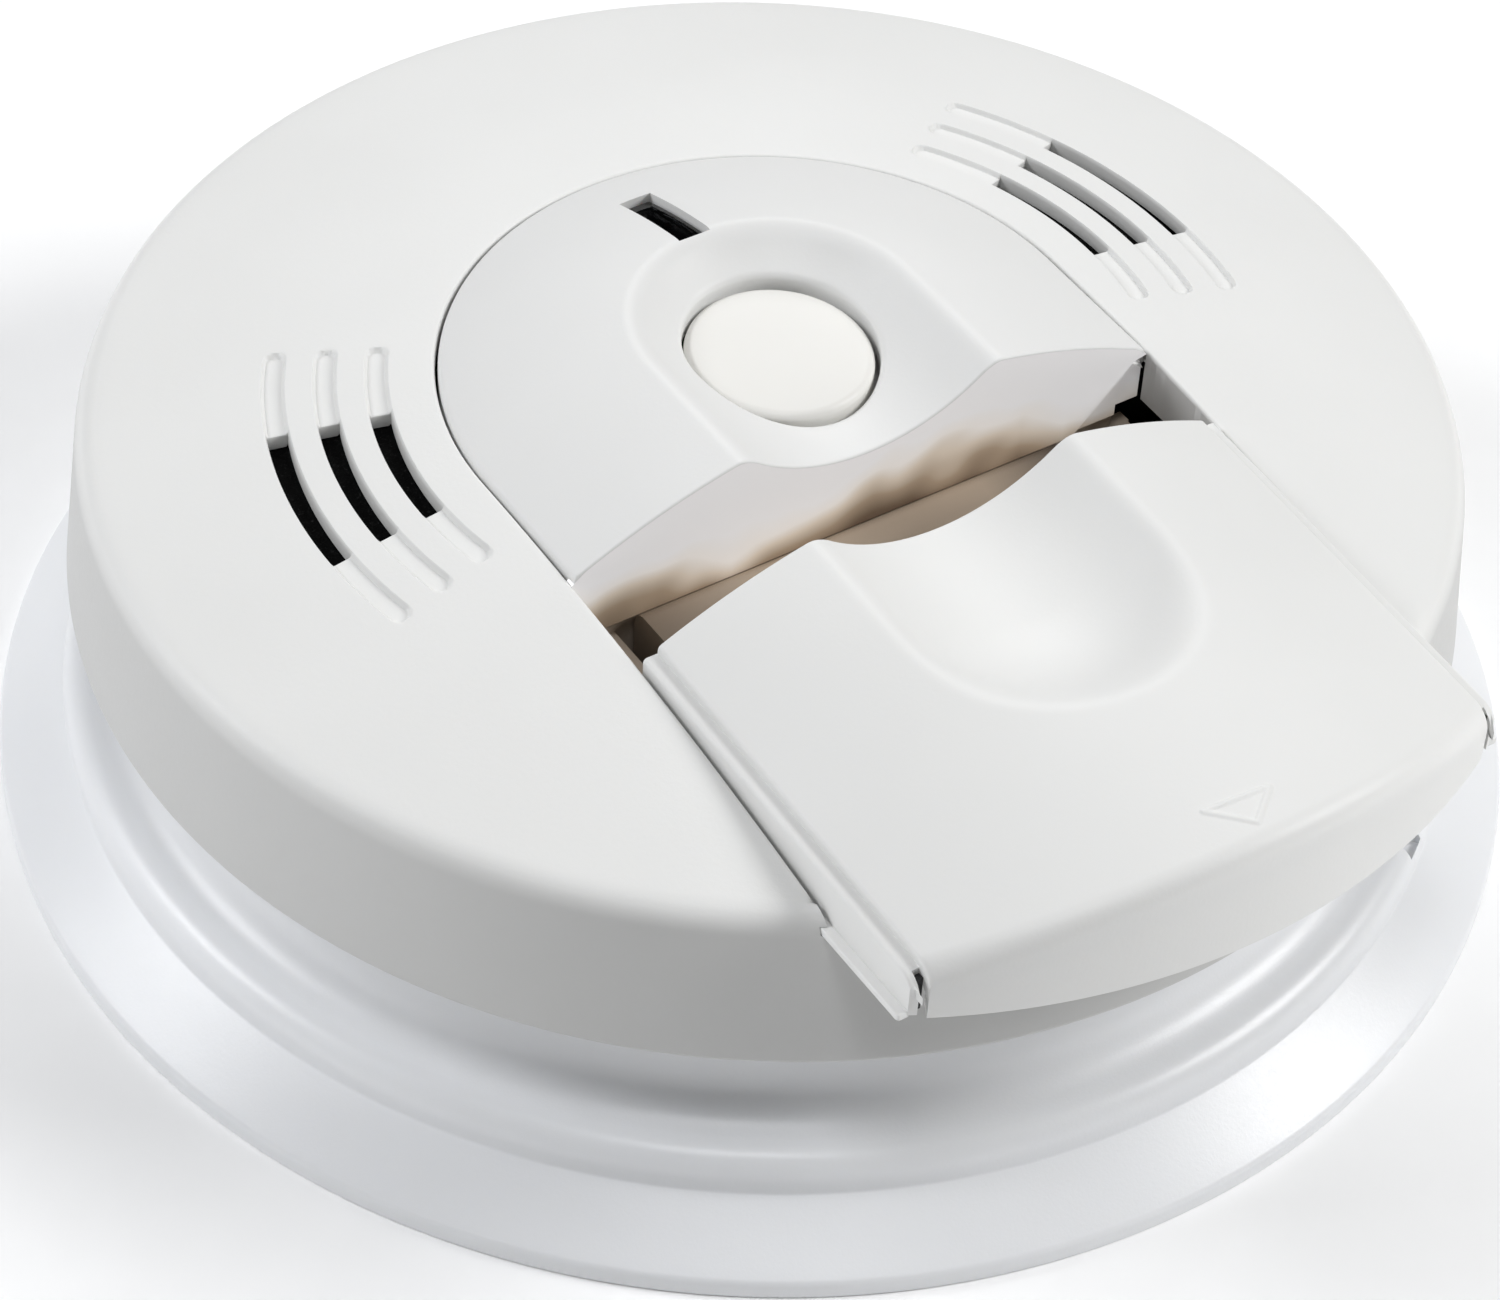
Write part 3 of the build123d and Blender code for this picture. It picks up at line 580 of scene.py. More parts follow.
white = (0.80, 0.80, 0.785)
cover_plastic = moulded("cover_plastic", white)
# the drum's upright sides get painted shade, about three quarters as bright as its top
drum_plastic = moulded("drum_plastic", white, grain_mm=0.5, grain_depth=0.03, painted_side_shade=0.74)
panel_plastic = moulded("panel_plastic", (0.80, 0.80, 0.788), grain_mm=0.4)
button_plastic = moulded("button_plastic", (0.80, 0.79, 0.755), (0.38, 0.46), grain_mm=0.5, grain_depth=0.012)
bracket_plastic = moulded("bracket_plastic", (0.85, 0.86, 0.875), (0.3, 0.4), grain_mm=0.35, coat=0.15)
skirt_painted_light = bay_painted_light_plastic()
shadow_plastic = moulded("shadow_plastic", (0.50, 0.42, 0.34), (0.4, 0.5), 0.8, tint=0.01, scatter=0.0)
inner_plastic = moulded("inner_plastic", (0.74, 0.74, 0.73), (0.25, 0.35), grain_mm=0.8)
black_plastic = moulded("black_plastic", (0.02, 0.02, 0.021), (0.4, 0.55), tint=0.004, scatter=0.0)
chip_plastic = moulded("chip_plastic", (0.03, 0.03, 0.032), (0.5, 0.6), grain_mm=0.3, tint=0.006, scatter=0.0)
capacitor_dip = moulded("capacitor_dip", (0.42, 0.07, 0.04), (0.2, 0.3), grain_mm=1.5, tint=0.02, scatter=0.0)
steel = metal("plated_steel", (0.62, 0.62, 0.64))
brass = metal("brass_strip", (0.72, 0.52, 0.24), brushed=(0.2, 1, 1))
sensor_metal = metal("drawn_can", (0.68, 0.68, 0.69), brushed=(1, 1, 0.15))
screen_cloth = speckled_screen()
lens_plastic = clear_lens()
BRACKET = ("bracket", "mounting_bracket", "bracket_plastic")    # body, CAD node and slot of a piece
COVER = ("alarm", "front_cover", "cover_plastic")
PANEL = ("alarm", "control_panel", "cover_plastic")
DOOR = ("door", "battery_door", "cover_plastic")


# ------------------------------------------------------------------ mounting bracket
def bracket_outline():
    """Half section of the trim ring, shoulder, cove, neck and web."""
    web, hole = 2.0, 36.0
    neck, inner = 60.4, 58.4
    return rounded_outline([
        (BRACKET_R, 0.0, 0.25), (BRACKET_R, 1.9, 0.85), (66.7, 6.55, 0.35), (66.55, 9.95, 2.7),
        (neck + 0.1, 11.0, 4.2), (neck, NECK_TOP, 0.3), (inner, NECK_TOP, 0.3), (inner, web, 0.5),
        (hole, web, 0.25), (hole, 0.0, 0.25)], steps=8)


def make_bracket():
    """The bracket's half section, divided into short steps and turned about the axis."""
    outline = bracket_outline()
    dense = []
    for k, point in enumerate(outline):
        after = np.array(outline[(k + 1) % len(outline)])
        here = np.array(point)
        steps = max(1, int(np.linalg.norm(after - here)))
        dense += [tuple(here + (after - here) * t / steps) for t in range(steps)]
    return Skin().grid(lathe(dense, 720), wrap=True)


def fit_out_bracket():
    """Web openings, screw slots and the tamper notch, then the bayonet lugs with their stops."""
    shell = make_bracket().mesh("trim_ring", bracket_plastic, *BRACKET)
    through = (-1, 3)
    cuts = [ring_sector(inner=42, outer=54, middle=turn, width=44, z=through) for turn in (45, 135, 225, 315)]
    slot_size = {"length": 12.0, "width": 4.6, "z": through}
    cuts += [round_slot(x, 0, **slot_size) for x in (-44.45, 44.45)]
    cuts += [round_slot(0, y, upright=True, **slot_size) for y in (-41.65, 41.65)]
    cuts += [ring_sector(inner=64.2, outer=66.4, middle=-55, width=2.6, z=(8.1, 13.1))]
    cut(shell, *cuts)
    turns = (90, 210, 330)
    radii = {"inner": 56.5, "outer": 58.5}
    lugs = [ring_sector(middle=turn, width=22, z=(12.6, 14.8), **radii) for turn in turns]
    lugs += [ring_sector(middle=turn - 11.25, width=2.5, z=(9.4, 12.59), **radii) for turn in turns]
    piece("bayonet_lugs", *prisms(lugs), bracket_plastic, *BRACKET)


fit_out_bracket()


# ------------------------------------------------------------------ front cover
def side_radius(z):
    """Radius of the drum's slightly tapered side."""
    top = float(dome(COVER_TOP_R))
    return COVER_BOTTOM_R - (z - COVER_BOTTOM) * (COVER_BOTTOM_R - COVER_TOP_R) / (top - COVER_BOTTOM)


def cover_rim():
    """(radius, height) points of the rounded edge between the dome and the drum's side."""
    corner = (COVER_TOP_R, float(dome(COVER_TOP_R)))
    inward = (COVER_TOP_R - 4, float(dome(COVER_TOP_R - 4)))
    return rounded_corner(inward, corner, (COVER_BOTTOM_R, COVER_BOTTOM), RIM_FILLET, 12)


def cover_turns(dome_end):
    """Directions of the spokes, in degrees, from the slot's right corner round the back to its left one."""
    slot_turns = [-degrees(acos((SLOT_X + step) / dome_end)) for step in (0, 0.58, 1.8, 3.0)]
    edge_turn = degrees(np.arctan2(ARCH_EDGE_Y, SLOT_X))
    spans = [(-52, -14, 1.0), (-13.6, -9.2, 0.3), (-9, -1.8, 0.8), (-1.6, SLIT_ENDS[0], 0.1),
             (SLIT_ENDS[0], 20, 0.8), (20, SLIT_ENDS[1], 0.65), (SLIT_ENDS[1], 22.3, 0.1),
             (22.8, 31.4, 0.8), (31.6, 36, 0.3), (37, 90, 1.0)]
    half = np.unique(np.concatenate([slot_turns, [edge_turn, 0], stations(*spans)]))
    return np.concatenate([half, 180 - half[::-1][1:]])


def cover_lines(dome_end):
    """Radii of the dome's rows of points, close together at the opening and at the slits."""
    band, fine, finest = 1.36, 0.17, 0.08
    spans = [(SLOT_X, SLOT_X + 0.4, finest), (31.9, 34.9, 0.6)]
    for middle in VENT_RADII:
        low_edge, high_edge = middle - SLIT_HALF, middle + SLIT_HALF
        spans += [(middle - band, low_edge, finest), (low_edge, high_edge, fine),
                  (high_edge, middle + band, finest)]
    spans += [(38.4, 39.4, 0.5), (43.1, 44.1, 0.5), (48, dome_end, 1.0)]
    return stations(*spans)


def dome_grid(turns, dome_end):
    """The dome's points, squeezed between opening and rim where the slot cuts it short, and its slits."""
    lines = cover_lines(dome_end)[:, None]
    start, straight_end = lines[0, 0], 35.0
    turn = np.radians(turns)[None, :]
    slant = np.where(turns < 0, turns, np.where(turns > 180, 180 - turns, 0))[None, :]
    opening = start / np.cos(np.radians(slant))
    squeezed = opening + (lines - start) * (dome_end - opening) / (dome_end - start)
    straight = lines + (opening - start) * np.clip((straight_end - lines) / (straight_end - start), 0, 1)
    mix = smooth_step(-slant, 14.5, 22)
    radius = straight * (1 - mix) + squeezed * mix
    x, y = radius * np.cos(turn), radius * np.sin(turn)
    z = dome(radius) - vent_drop(x, y) - roll_off(arch_distance(x, y) - ARCH_GAP, 0.35)
    return xyz(x, y, z), slit_cells(radius, turn)


def slit_cells(radius, turn):
    """Which cells of the dome are open."""
    cell_r = (radius[:-1, :-1] + radius[1:, 1:]) / 2
    cell_t = np.degrees((turn[:, :-1] + turn[:, 1:]) / 2)
    cell_t = np.where(cell_t > 90, 180 - cell_t, cell_t) + 0 * cell_r
    within_ends = (cell_t > SLIT_ENDS[0]) & (cell_t < SLIT_ENDS[1])
    slit = np.zeros(cell_r.shape, bool)
    for middle in VENT_RADII:
        slit |= (np.abs(cell_r - middle) < SLIT_HALF) & within_ends
    return slit


def drum_ring(radius, height, turns, dome_end):
    """A row of points round the drum; near the slot its points stay straight below those of the dome."""
    below = np.where(turns < 90, -turns, turns - 180)
    upright = np.degrees(np.arccos(np.clip(dome_end * np.cos(np.radians(below)) / radius, -1, 1)))
    weight = smooth_step(below, 40, 52)
    bent = below + weight * (upright - below)
    angle = np.radians(np.where(turns < 90, -bent, 180 + bent))
    return xyz(radius * np.cos(angle), radius * np.sin(angle), height)


def front_arc(radius, height):
    """A row of points across the front of the drum, below the door."""
    end = degrees(acos(SLOT_X / radius))
    angle = np.radians(np.linspace(-end, -180 + end, 61)[::-1])
    return xyz(radius * np.cos(angle), radius * np.sin(angle), height)


def inward_offset(points, amount, down):
    """Offsets towards the axis and downwards, given for each row of points."""
    flat = points * (1, 1, 0)
    length = np.maximum(np.linalg.norm(flat, axis=-1, keepdims=True), 1e-6)
    inward = -flat / length * np.asarray(amount)[..., None, None]
    return inward + np.array((0, 0, -1.0)) * np.asarray(down)[..., None, None]


def add_drum_side(skin, rim, top, turns, dome_end):
    """The drum's side from the dome down to the deck, with the ends of the rail's groove left open."""
    profile = rim[1:] + [(side_radius(DECK_TOP), DECK_TOP)]
    side = np.stack([top[-1]] + [drum_ring(r, h, turns, dome_end) for r, h in profile])
    heights = side[:, 0, 2]
    in_groove = (heights[:-1] < RAIL_SLOT[1] + 0.01) & (heights[1:] > RAIL_SLOT[0] - 0.01)
    groove = np.zeros((len(side) - 1, len(turns) - 1), bool)
    groove[in_groove, 0] = True
    groove[in_groove, -1] = True
    share = np.linspace(0, 1, len(rim))
    amount = np.append(WALL * np.sin(share * pi / 2), WALL)
    down = np.append(WALL * np.cos(share * pi / 2), 0)
    skin.grid(side, inward_offset(side, amount, down), ~groove)
    return side


def add_drum_foot(skin, turns, dome_end):
    """The side from the deck to the rounded bottom edge; returns the points across the front."""
    foot = (COVER_BOTTOM_R - WALL, COVER_BOTTOM)
    lip = rounded_corner((COVER_TOP_R, 40), (COVER_BOTTOM_R, COVER_BOTTOM), foot, 0.45, 5)
    profile = [(side_radius(z), z) for z in stations((DECK_TOP, COVER_BOTTOM + 0.6, 1.2))[::-1]]
    profile += lip[1:] + [foot]
    main = np.stack([drum_ring(r, h, turns, dome_end) for r, h in profile])
    front = np.stack([front_arc(r, h) for r, h in profile])
    amount = np.full(len(profile), WALL)
    amount[-1] = 0.0
    down = np.zeros(len(profile))
    down[-len(lip):] = np.linspace(0, -WALL, len(lip))
    for part in (main, front):
        skin.grid(part, inward_offset(part, amount, down))
    return front


def add_slot_side(skin, side_of, top, side):
    """One side of the slot: a chain of points from the rim's corner to the panel, carried down in steps."""
    column = 0 if side_of > 0 else -1
    chain = np.concatenate([side[::-1, column], top[::-1, column][1:]])
    inner = top[0] if side_of > 0 else top[0, ::-1]
    chain = np.concatenate([chain, [p for p in inner if p[1] <= ARCH_EDGE_Y + 0.01]])
    chain = np.concatenate([chain, chain[-1:] + (0, 0.55, 0)])
    chain[:, 0] = side_of * SLOT_X
    steps = np.stack([chain] * 4)
    for k, height in enumerate((*RAIL_SLOT[::-1], DECK_TOP), 1):
        steps[k, :, 2] = np.minimum(chain[:, 2], height)
    through = np.zeros((3, len(chain) - 1), bool)
    through[1] = True
    through[2] = (chain[1:, 1] + chain[:-1, 1]) / 2 > CORNER_FRONT_Y
    outwards = np.zeros(steps.shape) + (side_of * SLOT_WALL, 0, 0)
    slant_start, slant_length, slant_back = -50.5, 3.2, 2.2      # keeps the wall's back inside the drum
    outwards[..., 1] = slant_back * np.clip((slant_start - steps[..., 1]) / slant_length, 0, 1)
    skin.grid(steps, outwards, ~through)


def add_deck(skin, front_line):
    """The floor of the slot, from the front of the drum back to the battery bay."""
    back_line = front_line.copy()
    back_line[:, 1] = DECK_BACK_Y
    share = np.linspace(0, 1, 12)[:, None, None]
    skin.grid(front_line * (1 - share) + back_line * share, (0, 0, -DECK_THICK))


def make_cover():
    """One skin: dome, rounded rim, drum side, and the walls and deck of the door's slot."""
    rim = cover_rim()
    dome_end = rim[0][0]
    turns = cover_turns(dome_end)
    top, slit = dome_grid(turns, dome_end)
    skin = Skin()
    skin.grid(top, (0, 0, -WALL), ~slit)
    side = add_drum_side(skin, rim, top, turns, dome_end)
    front = add_drum_foot(skin, turns, dome_end)
    for side_of in (1, -1):
        add_slot_side(skin, side_of, top, side)
    add_deck(skin, front[0])
    return skin


make_cover().mesh("domed_cover", drum_plastic, *COVER, thick=True)


# ------------------------------------------------------------------ control panel
def spoke_reach(turn):
    """Distance from the button's middle to the panel's outline along each direction."""
    c, s = np.cos(turn), np.sin(turn)
    to_side = ARCH_R / np.maximum(np.abs(c), 1e-9)
    to_front = np.where(s < 0, (ARCH_EDGE_Y - BUTTON_Y) / np.minimum(s, -1e-9), 1e9)
    to_round = -BUTTON_Y * s + np.sqrt((BUTTON_Y * s) ** 2 - BUTTON_Y**2 + ARCH_R**2)
    straight = np.minimum(to_side, to_front)
    return np.where(BUTTON_Y + straight * s > 0, to_round, straight)


def make_panel():
    """The panel's face on spokes from the button's hole to the outline; also returns its front edge."""
    edge_count, panel_thick, front_setback = 160, 1.8, 0.8
    corner = np.arctan2(ARCH_EDGE_Y - BUTTON_Y, ARCH_R)
    turn = np.concatenate([np.linspace(-pi - corner, corner, edge_count, endpoint=False),
                           np.linspace(corner, pi - corner, 560, endpoint=False)])[None, :]
    hole = 1 / np.sqrt((np.cos(turn) / BUTTON_HOLE_R[0]) ** 2 + (np.sin(turn) / BUTTON_HOLE_R[1]) ** 2)
    reach = spoke_reach(turn)
    near = np.array([0, 0.02, 0.07, 0.15, 0.26, 0.4, 0.55])[:, None]
    far = np.array([0.9, 0.7, 0.5, 0.36, 0.24, 0.14, 0.06, 0.02, 0])[:, None]
    share = np.linspace(0, 1, 78)[1:-1, None]
    middle = hole + near[-1] + share * (reach - far[0] - hole - near[-1])
    distance = np.concatenate([hole + near, middle, reach - far])
    x = distance * np.cos(turn)
    y = BUTTON_Y + distance * np.sin(turn)
    z = panel_height(x, y)
    z = z - roll_off(distance - hole, 0.5) - roll_off(-arch_distance(x, y), 0.5)
    z = z - roll_off(y - ARCH_EDGE_Y, 0.22)
    points = xyz(x, y, z)
    offsets = np.zeros(points.shape) + (0, 0, -panel_thick)
    offsets[-1, :edge_count + 1] = (0, front_setback, -panel_thick)
    return Skin().grid(points, offsets, wrap=True), points[-1][:edge_count + 1]


def make_skirt(edge):
    """The wall of the battery bay below the panel's front edge; its lower right part is set back."""
    slant_start, slant_end, slant_top = 23.5, 30.7, 43.8
    rise = (slant_top - SKIRT_BOTTOM) / (slant_end - slant_start)
    slant = SKIRT_BOTTOM + (edge[:, 0] - slant_start) * rise
    middle = np.clip(slant, SKIRT_BOTTOM, edge[:, 2] - 0.05)[None, :]
    steps = np.linspace(0, 1, 9)[:, None]
    top_z = edge[None, :, 2] * (1 - steps) + middle * steps
    low_z = middle * (1 - steps) + SKIRT_BOTTOM * steps
    back = ARCH_EDGE_Y + SKIRT_RECESS * (edge[None, :, 0] > slant_start)
    to_wall = np.sign(edge[:, 0]) * (SLOT_X - 0.04)
    x = np.where(np.abs(edge[:, 0]) > ARCH_R - 0.05, to_wall, edge[:, 0])[None, :]
    skirt = np.concatenate([xyz(x, ARCH_EDGE_Y, top_z), xyz(x, back, low_z)])
    return Skin().grid(skirt, (0, 0.85, 0))


def cut_window(obj, low_x, high_x, low_y, high_y):
    """Cut a straight-sided opening through a shell."""
    margin_x, margin_y = 5, 9
    work = bmesh.new()
    work.from_mesh(obj.data)

    def near(element):
        middle = sum((v.co for v in element.verts), Vector()) / len(element.verts) / MM
        return (abs(middle.x - (low_x + high_x) / 2) < margin_x
                and abs(middle.y - (low_y + high_y) / 2) < margin_y)

    def within(face):
        middle = face.calc_center_median() / MM
        return low_x < middle.x < high_x and low_y < middle.y < high_y

    for place, normal in (((low_x, 0, 0), (1, 0, 0)), ((high_x, 0, 0), (1, 0, 0)),
                          ((0, low_y, 0), (0, 1, 0)), ((0, high_y, 0), (0, 1, 0))):
        faces = [f for f in work.faces if near(f)]
        edges = list({e for f in faces for e in f.edges})
        corners = list({v for f in faces for v in f.verts})
        at = [c * MM for c in place]
        bmesh.ops.bisect_plane(work, geom=faces + edges + corners, plane_co=at, plane_no=normal, dist=1e-7)
    gone = [f for f in work.faces if near(f) and within(f)]
    bmesh.ops.delete(work, geom=gone, context="FACES")
    holes = [e for e in work.edges if e.is_boundary and near(e)]
    bmesh.ops.bridge_loops(work, edges=holes)
    bmesh.ops.recalc_face_normals(work, faces=work.faces)
    work.to_mesh(obj.data)
    work.free()
    obj.data.set_sharp_from_angle(angle=radians(SHARP))


lens_low, lens_high = low("status_lens"), high("status_lens")
LENS_X = (lens_low[0] + lens_high[0]) / 2
LENS_Y = (lens_low[1] + lens_high[1]) / 2
WINDOW_HALF = (1.7, 5.15)
panel_skin, panel_edge = make_panel()
skirt_skin = make_skirt(panel_edge)
panel = panel_skin.mesh("hood_panel", panel_plastic, *PANEL, thick=True)
cut_window(panel, LENS_X - WINDOW_HALF[0], LENS_X + WINDOW_HALF[0],
           LENS_Y - WINDOW_HALF[1], LENS_Y + WINDOW_HALF[1])
skirt = skirt_skin.mesh("bay_skirt", skirt_painted_light, *PANEL[:2], "inner_plastic", thick=True)
for side in (-1, 1):
    # the way for the rail through the wall's lower corner
    cut(skirt, block(x=sorted((side * CORNER_X, side * 33)), y=(-16, -13), z=(36, CORNER_TOP)))


# ------------------------------------------------------------------ status window
def make_window():
    """A clear block set a little into the panel, over a black floor."""
    half_x, half_y, sunk, edge_radius = 1.6, 5.05, 0.75, 0.35
    floor_z = 43.6
    y = stations((-half_y, half_y, 0.35))[:, None]
    x = stations((-half_x, half_x, 0.2))[None, :]
    edge = np.minimum(half_x - np.abs(x), half_y - np.abs(y))
    z = panel_height(x + LENS_X, y + LENS_Y) - sunk - roll_off(edge, edge_radius)
    lens = Skin().grid(xyz(x + LENS_X, y + LENS_Y, z), (0, 0, -1.6))
    lens.mesh("window_lens", lens_plastic, "alarm", "status_lens", "clear_plastic", thick=True)
    floor = Skin().grid(xyz(x * 1.3 + LENS_X, y * 1.15 + LENS_Y, floor_z), (0, 0, -0.6))
    floor.mesh("window_well", black_plastic, "alarm", "status_lens", "black_plastic", thick=True)


make_window()


# ------------------------------------------------------------------ test button
def make_button():
    """An oval cap, slightly crowned, with a soft edge."""
    edge, crown, top, middle, depth = 0.8, 0.3, high("test_button")[2], 8.0, 4.5
    turn = np.linspace(0, 2 * pi, 240, endpoint=False)
    inset = np.concatenate([np.linspace(middle, edge + 0.1, 20),
                            edge * (1 - np.sin(np.linspace(0, pi / 2, 10)))])
    rows = [(0.0, 0.0, top)]
    for value in inset:
        share = np.clip((value - edge) / (middle - edge), 0, 1)
        height = top - crown * (1 - share) ** 2 - float(roll_off(np.array(value), edge))
        rows.append((BUTTON_R[0] - value, BUTTON_R[1] - value, height))
    rows += [(*BUTTON_R, top - depth), (0.0, 0.0, top - depth)]
    ovals = [xyz(BUTTON_X + rx * np.cos(turn), BUTTON_Y + ry * np.sin(turn), z) for rx, ry, z in rows]
    return Skin().grid(np.stack(ovals), wrap=True)


make_button().mesh("button_cap", button_plastic, "button", "test_button", "button_plastic")


# ------------------------------------------------------------------ battery door
def arrow_ridge(x, y):
    """Height of the raised outline of a triangle that points the way the door slides."""
    corners = np.array([(-3.75, -68.9), (2.75, -69.4), (-0.55, -72.1)])
    ridge_height = 0.13
    nearest = np.full(x.shape, 1e9)
    for k in range(3):
        start = corners[k - 1]
        along = corners[k] - start
        t = np.clip(((x - start[0]) * along[0] + (y - start[1]) * along[1]) / (along @ along), 0, 1)
        nearest = np.minimum(nearest, np.hypot(x - start[0] - t * along[0], y - start[1] - t * along[1]))
    return ridge_height * (1 - smooth_step(nearest, 0.12, 0.32))


def make_door_panel():
    """The crowned top with its finger dish and arrow, and the rounded front wall."""
    x = stations((-PANEL_HALF, -5.2, 0.5), (-5.2, 4.2, 0.12), (4.2, PANEL_HALF, 0.5))
    edge = np.array([0, 0.03, 0.1, 0.2, 0.32])
    x = np.unique(np.concatenate([x, edge - PANEL_HALF, PANEL_HALF - edge]))[None, :]
    front = door_front(x)
    back_rows = [0, 0.05, 0.15, 0.3]
    rows = np.concatenate([back_rows, np.linspace(0.6, 40.5, 82), np.linspace(40.6, 50.0, 70)])
    fillet = DOOR_FILLET * (1 - np.sin(np.linspace(0, pi / 2, 10)))
    length = DOOR_Y - front
    share = np.minimum(rows[:, None] / 49.0, 1)
    y = np.concatenate([DOOR_Y - share[:-1] * (length - DOOR_FILLET), front + fillet[:, None] + 0 * x])
    xx = x + 0 * y
    z = door_height(xx, y) - roll_off(PANEL_HALF - np.abs(xx), 0.32) - roll_off(DOOR_Y - y, 0.25)
    top = xyz(xx, y, z + arrow_ridge(xx, y))
    skin = Skin().grid(top, (0, 0, -1.9))
    steps = np.linspace(0, 1, 12)[:, None, None]
    bottom = top[-1].copy()
    bottom[:, 2] = DOOR_BOTTOM
    wall = top[-1] * (1 - steps) + bottom * steps
    flat = (top[-1] + (0, DOOR_OPEN, 0)) * (1, 1, 0)
    inward = -flat / np.linalg.norm(flat, axis=1, keepdims=True) * 1.7
    return skin.grid(wall, inward[None] * np.linspace(0.6, 1, 12)[:, None, None])


def with_ends(points):
    """Rows of points, closed at each end by a row drawn together in its middle."""
    first, last = [np.broadcast_to(points[k].mean(0), points[k].shape) for k in (0, -1)]
    return np.concatenate([first[None], points, last[None]])


def make_flange(side):
    """The thin side wall, with a ledge a little below the top that stops short of the front."""
    inner, ledge, ledge_under = PANEL_HALF - 0.3, -0.6, -1.5     # heights below zero are from the door's top
    section = [(inner, ledge), (30.45, ledge), (30.62, ledge - 0.05), (30.74, ledge - 0.17),
               (DOOR_HALF, ledge - 0.35), (DOOR_HALF, FLANGE_BOTTOM), (WEB_X, FLANGE_BOTTOM),
               (WEB_X, ledge_under), (inner, ledge_under), (inner, ledge)]
    ledge_end = 0.956
    along = np.concatenate([np.linspace(0, 0.955, 60), [ledge_end],
                            1 - 0.043 * (1 - np.sin(np.linspace(0, pi / 2, 10)))])
    points = np.zeros((len(along), len(section), 3))
    for k, (x, height) in enumerate(section):
        y = DOOR_Y + along * (door_front(x) - DOOR_Y)
        top = door_height(np.full_like(y, 30.0), np.maximum(y, door_front(30.0) + 0.02))
        z = top + height if height < 0 else np.full_like(y, height)
        out = np.where((along > ledge_end - 0.0005) & (x == inner), WEB_X, x)
        points[:, k] = xyz(side * out, y, np.maximum(z, FLANGE_BOTTOM))
    return Skin().grid(with_ends(points))


def make_rail(side):
    """The tongue along the bottom of the side wall, which runs in the cover's groove."""
    section = rounded_outline([
        (RAIL_X[0], RAIL_Z[1], 0.12), (RAIL_X[1], RAIL_Z[1], 0.15),
        (RAIL_X[1], RAIL_Z[0], 0.15), (RAIL_X[0], RAIL_Z[0], 0.12)], 4)
    section.append(section[0])
    front = float(door_front(np.array(31.2))) - 0.2
    bend = np.linspace(0.3, pi / 2, 5)
    y = np.concatenate([[DOOR_Y - 1.5], np.linspace(DOOR_Y - 1.6, front + 0.5, 30),
                        front + 0.5 * (1 - np.sin(bend))])
    inset = np.concatenate([[0.1], np.zeros(30), 0.25 * (1 - np.cos(bend))])
    scale = 1 - inset / 0.8
    middle = np.array((31.1, sum(RAIL_Z) / 2))
    points = np.zeros((len(y), len(section), 3))
    for k, point in enumerate(section):
        away = np.array(point) - middle
        points[:, k] = xyz(side * (middle[0] + away[0] * scale), y, middle[1] + away[1] * scale)
    return Skin().grid(with_ends(points))


def make_slot_end(side):
    """The web that closes the slit between the front wall and the side wall, a little way in."""
    front = float(door_front(np.array(29.7)))
    across = sorted((side * (PANEL_HALF + 0.02), side * (WEB_X - 0.02)))
    return prisms([block(x=across, y=(front + 0.8, front + 1.4), z=(37.2, 40.9))])


make_door_panel().mesh("door_panel", cover_plastic, *DOOR, thick=True)
for side, word in ((-1, "left"), (1, "right")):
    make_flange(side).mesh(f"door_flange_{word}", cover_plastic, *DOOR)
    # painted shade: the web is black plastic in a door of white plastic, so that the slit looks dark
    piece(f"door_slot_end_{word}", *make_slot_end(side), black_plastic, *DOOR)
    make_rail(side).mesh(f"door_rail_{word}", panel_plastic, *DOOR)


# ------------------------------------------------------------------ screens behind the vents
def make_screen(side, depth):
    """A piece of cloth at a depth below the dome, under the slits of one side."""
    radius = stations((34.2, 48.4, 0.4))[:, None]
    angle = np.radians(stations((-4, 25, 0.5)))[None, :]
    x, y = radius * np.cos(angle), radius * np.sin(angle)
    return Skin().grid(xyz(side * x, y, dome(radius) - depth), (0, 0, -0.6))


for side, depth, name, node in ((1, 3.4, "chamber_side_cloth", "vent_screen"),
                                (-1, 2.15, "horn_side_cloth", "horn_screen")):
    make_screen(side, depth).mesh(name, screen_cloth, "alarm", node, "dark_screen", thick=True)


# ------------------------------------------------------------------ carried-over CAD pieces
finishes = {
    "back_cover": inner_plastic, "battery_box": shadow_plastic, "button_guide": inner_plastic,
    "power_inlet": inner_plastic, "cover_screws": steel, "board_screws": steel, "battery_terminals": steel,
    "button_spring": steel, "insect_screen": steel, "circuit_board": board_mask(),
    "battery_can": battery_wrap(), "snap_plate": black_plastic, "contact_clips": brass,
    "horn_disc": brass, "inlet_pins": brass,
    "status_leds": moulded("lamp_plastic", (0.7, 0.74, 0.72), (0.08, 0.14)),
    "switch_body": chip_plastic, "switch_plunger": button_plastic, "horn_housing": black_plastic,
    "horn_ring": black_plastic, "chamber_base": black_plastic, "chamber_cap": black_plastic,
    "infrared_led": lens_plastic, "photodiode": chip_plastic, "gas_sensor_can": sensor_metal,
    "gas_sensor_cap": black_plastic, "mains_capacitor": capacitor_dip, "smoothing_capacitors": chip_plastic,
    "horn_coil": black_plastic, "controller_chip": chip_plastic, "driver_chips": chip_plastic,
}
for node, material in finishes.items():
    nodes[node].data.materials.clear()
    nodes[node].data.materials.append(material)


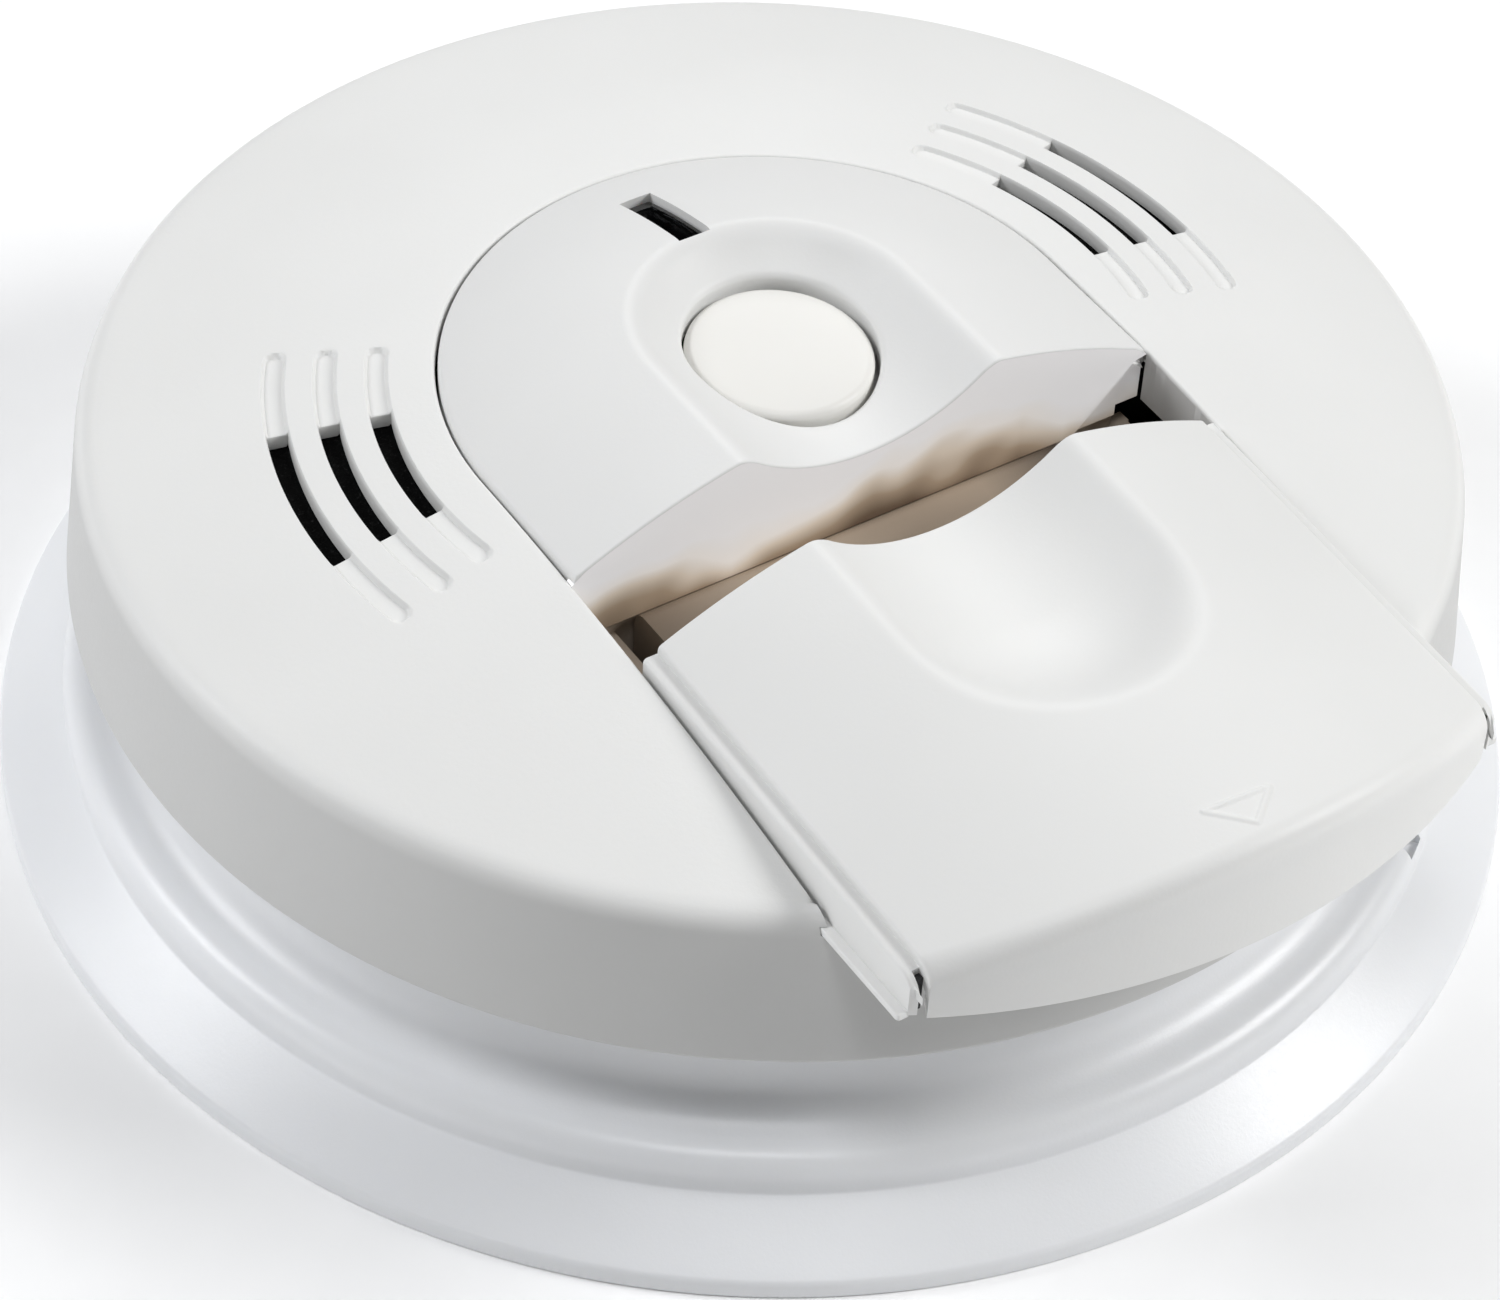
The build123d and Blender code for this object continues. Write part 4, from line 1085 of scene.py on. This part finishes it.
# ------------------------------------------------------------------ floor, light and camera
def make_stage():
    """A white paper floor just under the alarm."""
    material, shader = new_material("floor_paper")
    fibres = noise(material, 4, 4)
    paper = ramp(material, fibres, (0.3, (0.93, 0.93, 0.93)), (0.7, (0.95, 0.95, 0.95)))
    link(material, paper, shader.inputs["Base Color"])
    shader.inputs["Roughness"].default_value = 0.9
    shader.inputs["Specular IOR Level"].default_value = 0.1
    shader.inputs["Emission Color"].default_value = (1, 1, 1, 1)
    shader.inputs["Emission Strength"].default_value = 0.07
    half, below = 3000.0, -0.1
    corners = [(x * half, y * half, below) for x, y in ((-1, -1), (1, -1), (1, 1), (-1, 1))]
    mesh = mesh_from("floor", corners, [(0, 1, 2, 3)])
    mesh.materials.append(material)
    new_object("floor", mesh)


def soft_light(name, place, size, power, colour=(1, 1, 1)):
    """A rectangular lamp that faces the alarm; places are in metres, power in watts."""
    light = bpy.data.lights.new(name, "AREA")
    light.shape = "RECTANGLE"
    light.size, light.size_y = size
    light.energy = power
    light.color = colour
    obj = new_object(name, light)
    obj.location = place
    obj.rotation_euler = (Vector((0, 0, 0.03)) - Vector(place)).to_track_quat("-Z", "Y").to_euler()


def make_lights():
    """Five soft boxes, cooler on the left, and a faint even light all round."""
    cool = (0.97, 0.98, 1.0)
    soft_light("right_box", (0.81, -0.59, 0.75), (0.45, 0.45), 10.2)
    soft_light("left_box", (-0.81, 0.59, 0.75), (0.45, 0.45), 7.2, cool)
    soft_light("left_low", (-0.81, 0.59, 0.25), (0.5, 0.4), 1.4, cool)
    soft_light("back_box", (0.5, 0.7, 0.7), (0.5, 0.5), 3.0)
    soft_light("front_high", (-0.25, -0.35, 1.15), (0.3, 0.3), 3.4, cool)
    world = bpy.data.worlds.new("studio")
    world.use_nodes = True
    background = world.node_tree.nodes["Background"]
    background.inputs["Color"].default_value = (0.93, 0.95, 1.0, 1)
    background.inputs["Strength"].default_value = 0.01
    bpy.context.scene.world = world


def make_camera():
    """The place the photograph was taken from."""
    azimuth, elevation, roll = radians(-35.84), radians(44.01), radians(3.9)
    distance, lens_mm = 0.4616, 112.93
    aim = Vector((1.7, 3.5, 4.0)) * MM
    back = Vector((sin(azimuth) * cos(elevation), -cos(azimuth) * cos(elevation), sin(elevation)))
    camera = new_object("camera", bpy.data.cameras.new("camera"))
    camera.data.lens = lens_mm
    camera.data.sensor_width = 36.0
    camera.data.clip_start = 0.01
    turn = back.to_track_quat("Z", "Y").to_matrix().to_4x4() @ Matrix.Rotation(roll, 4, "Z")
    camera.matrix_world = Matrix.Translation(aim + back * distance) @ turn
    bpy.context.scene.camera = camera


make_stage()
make_lights()
bpy.context.scene.view_settings.view_transform = "Standard"
make_camera()
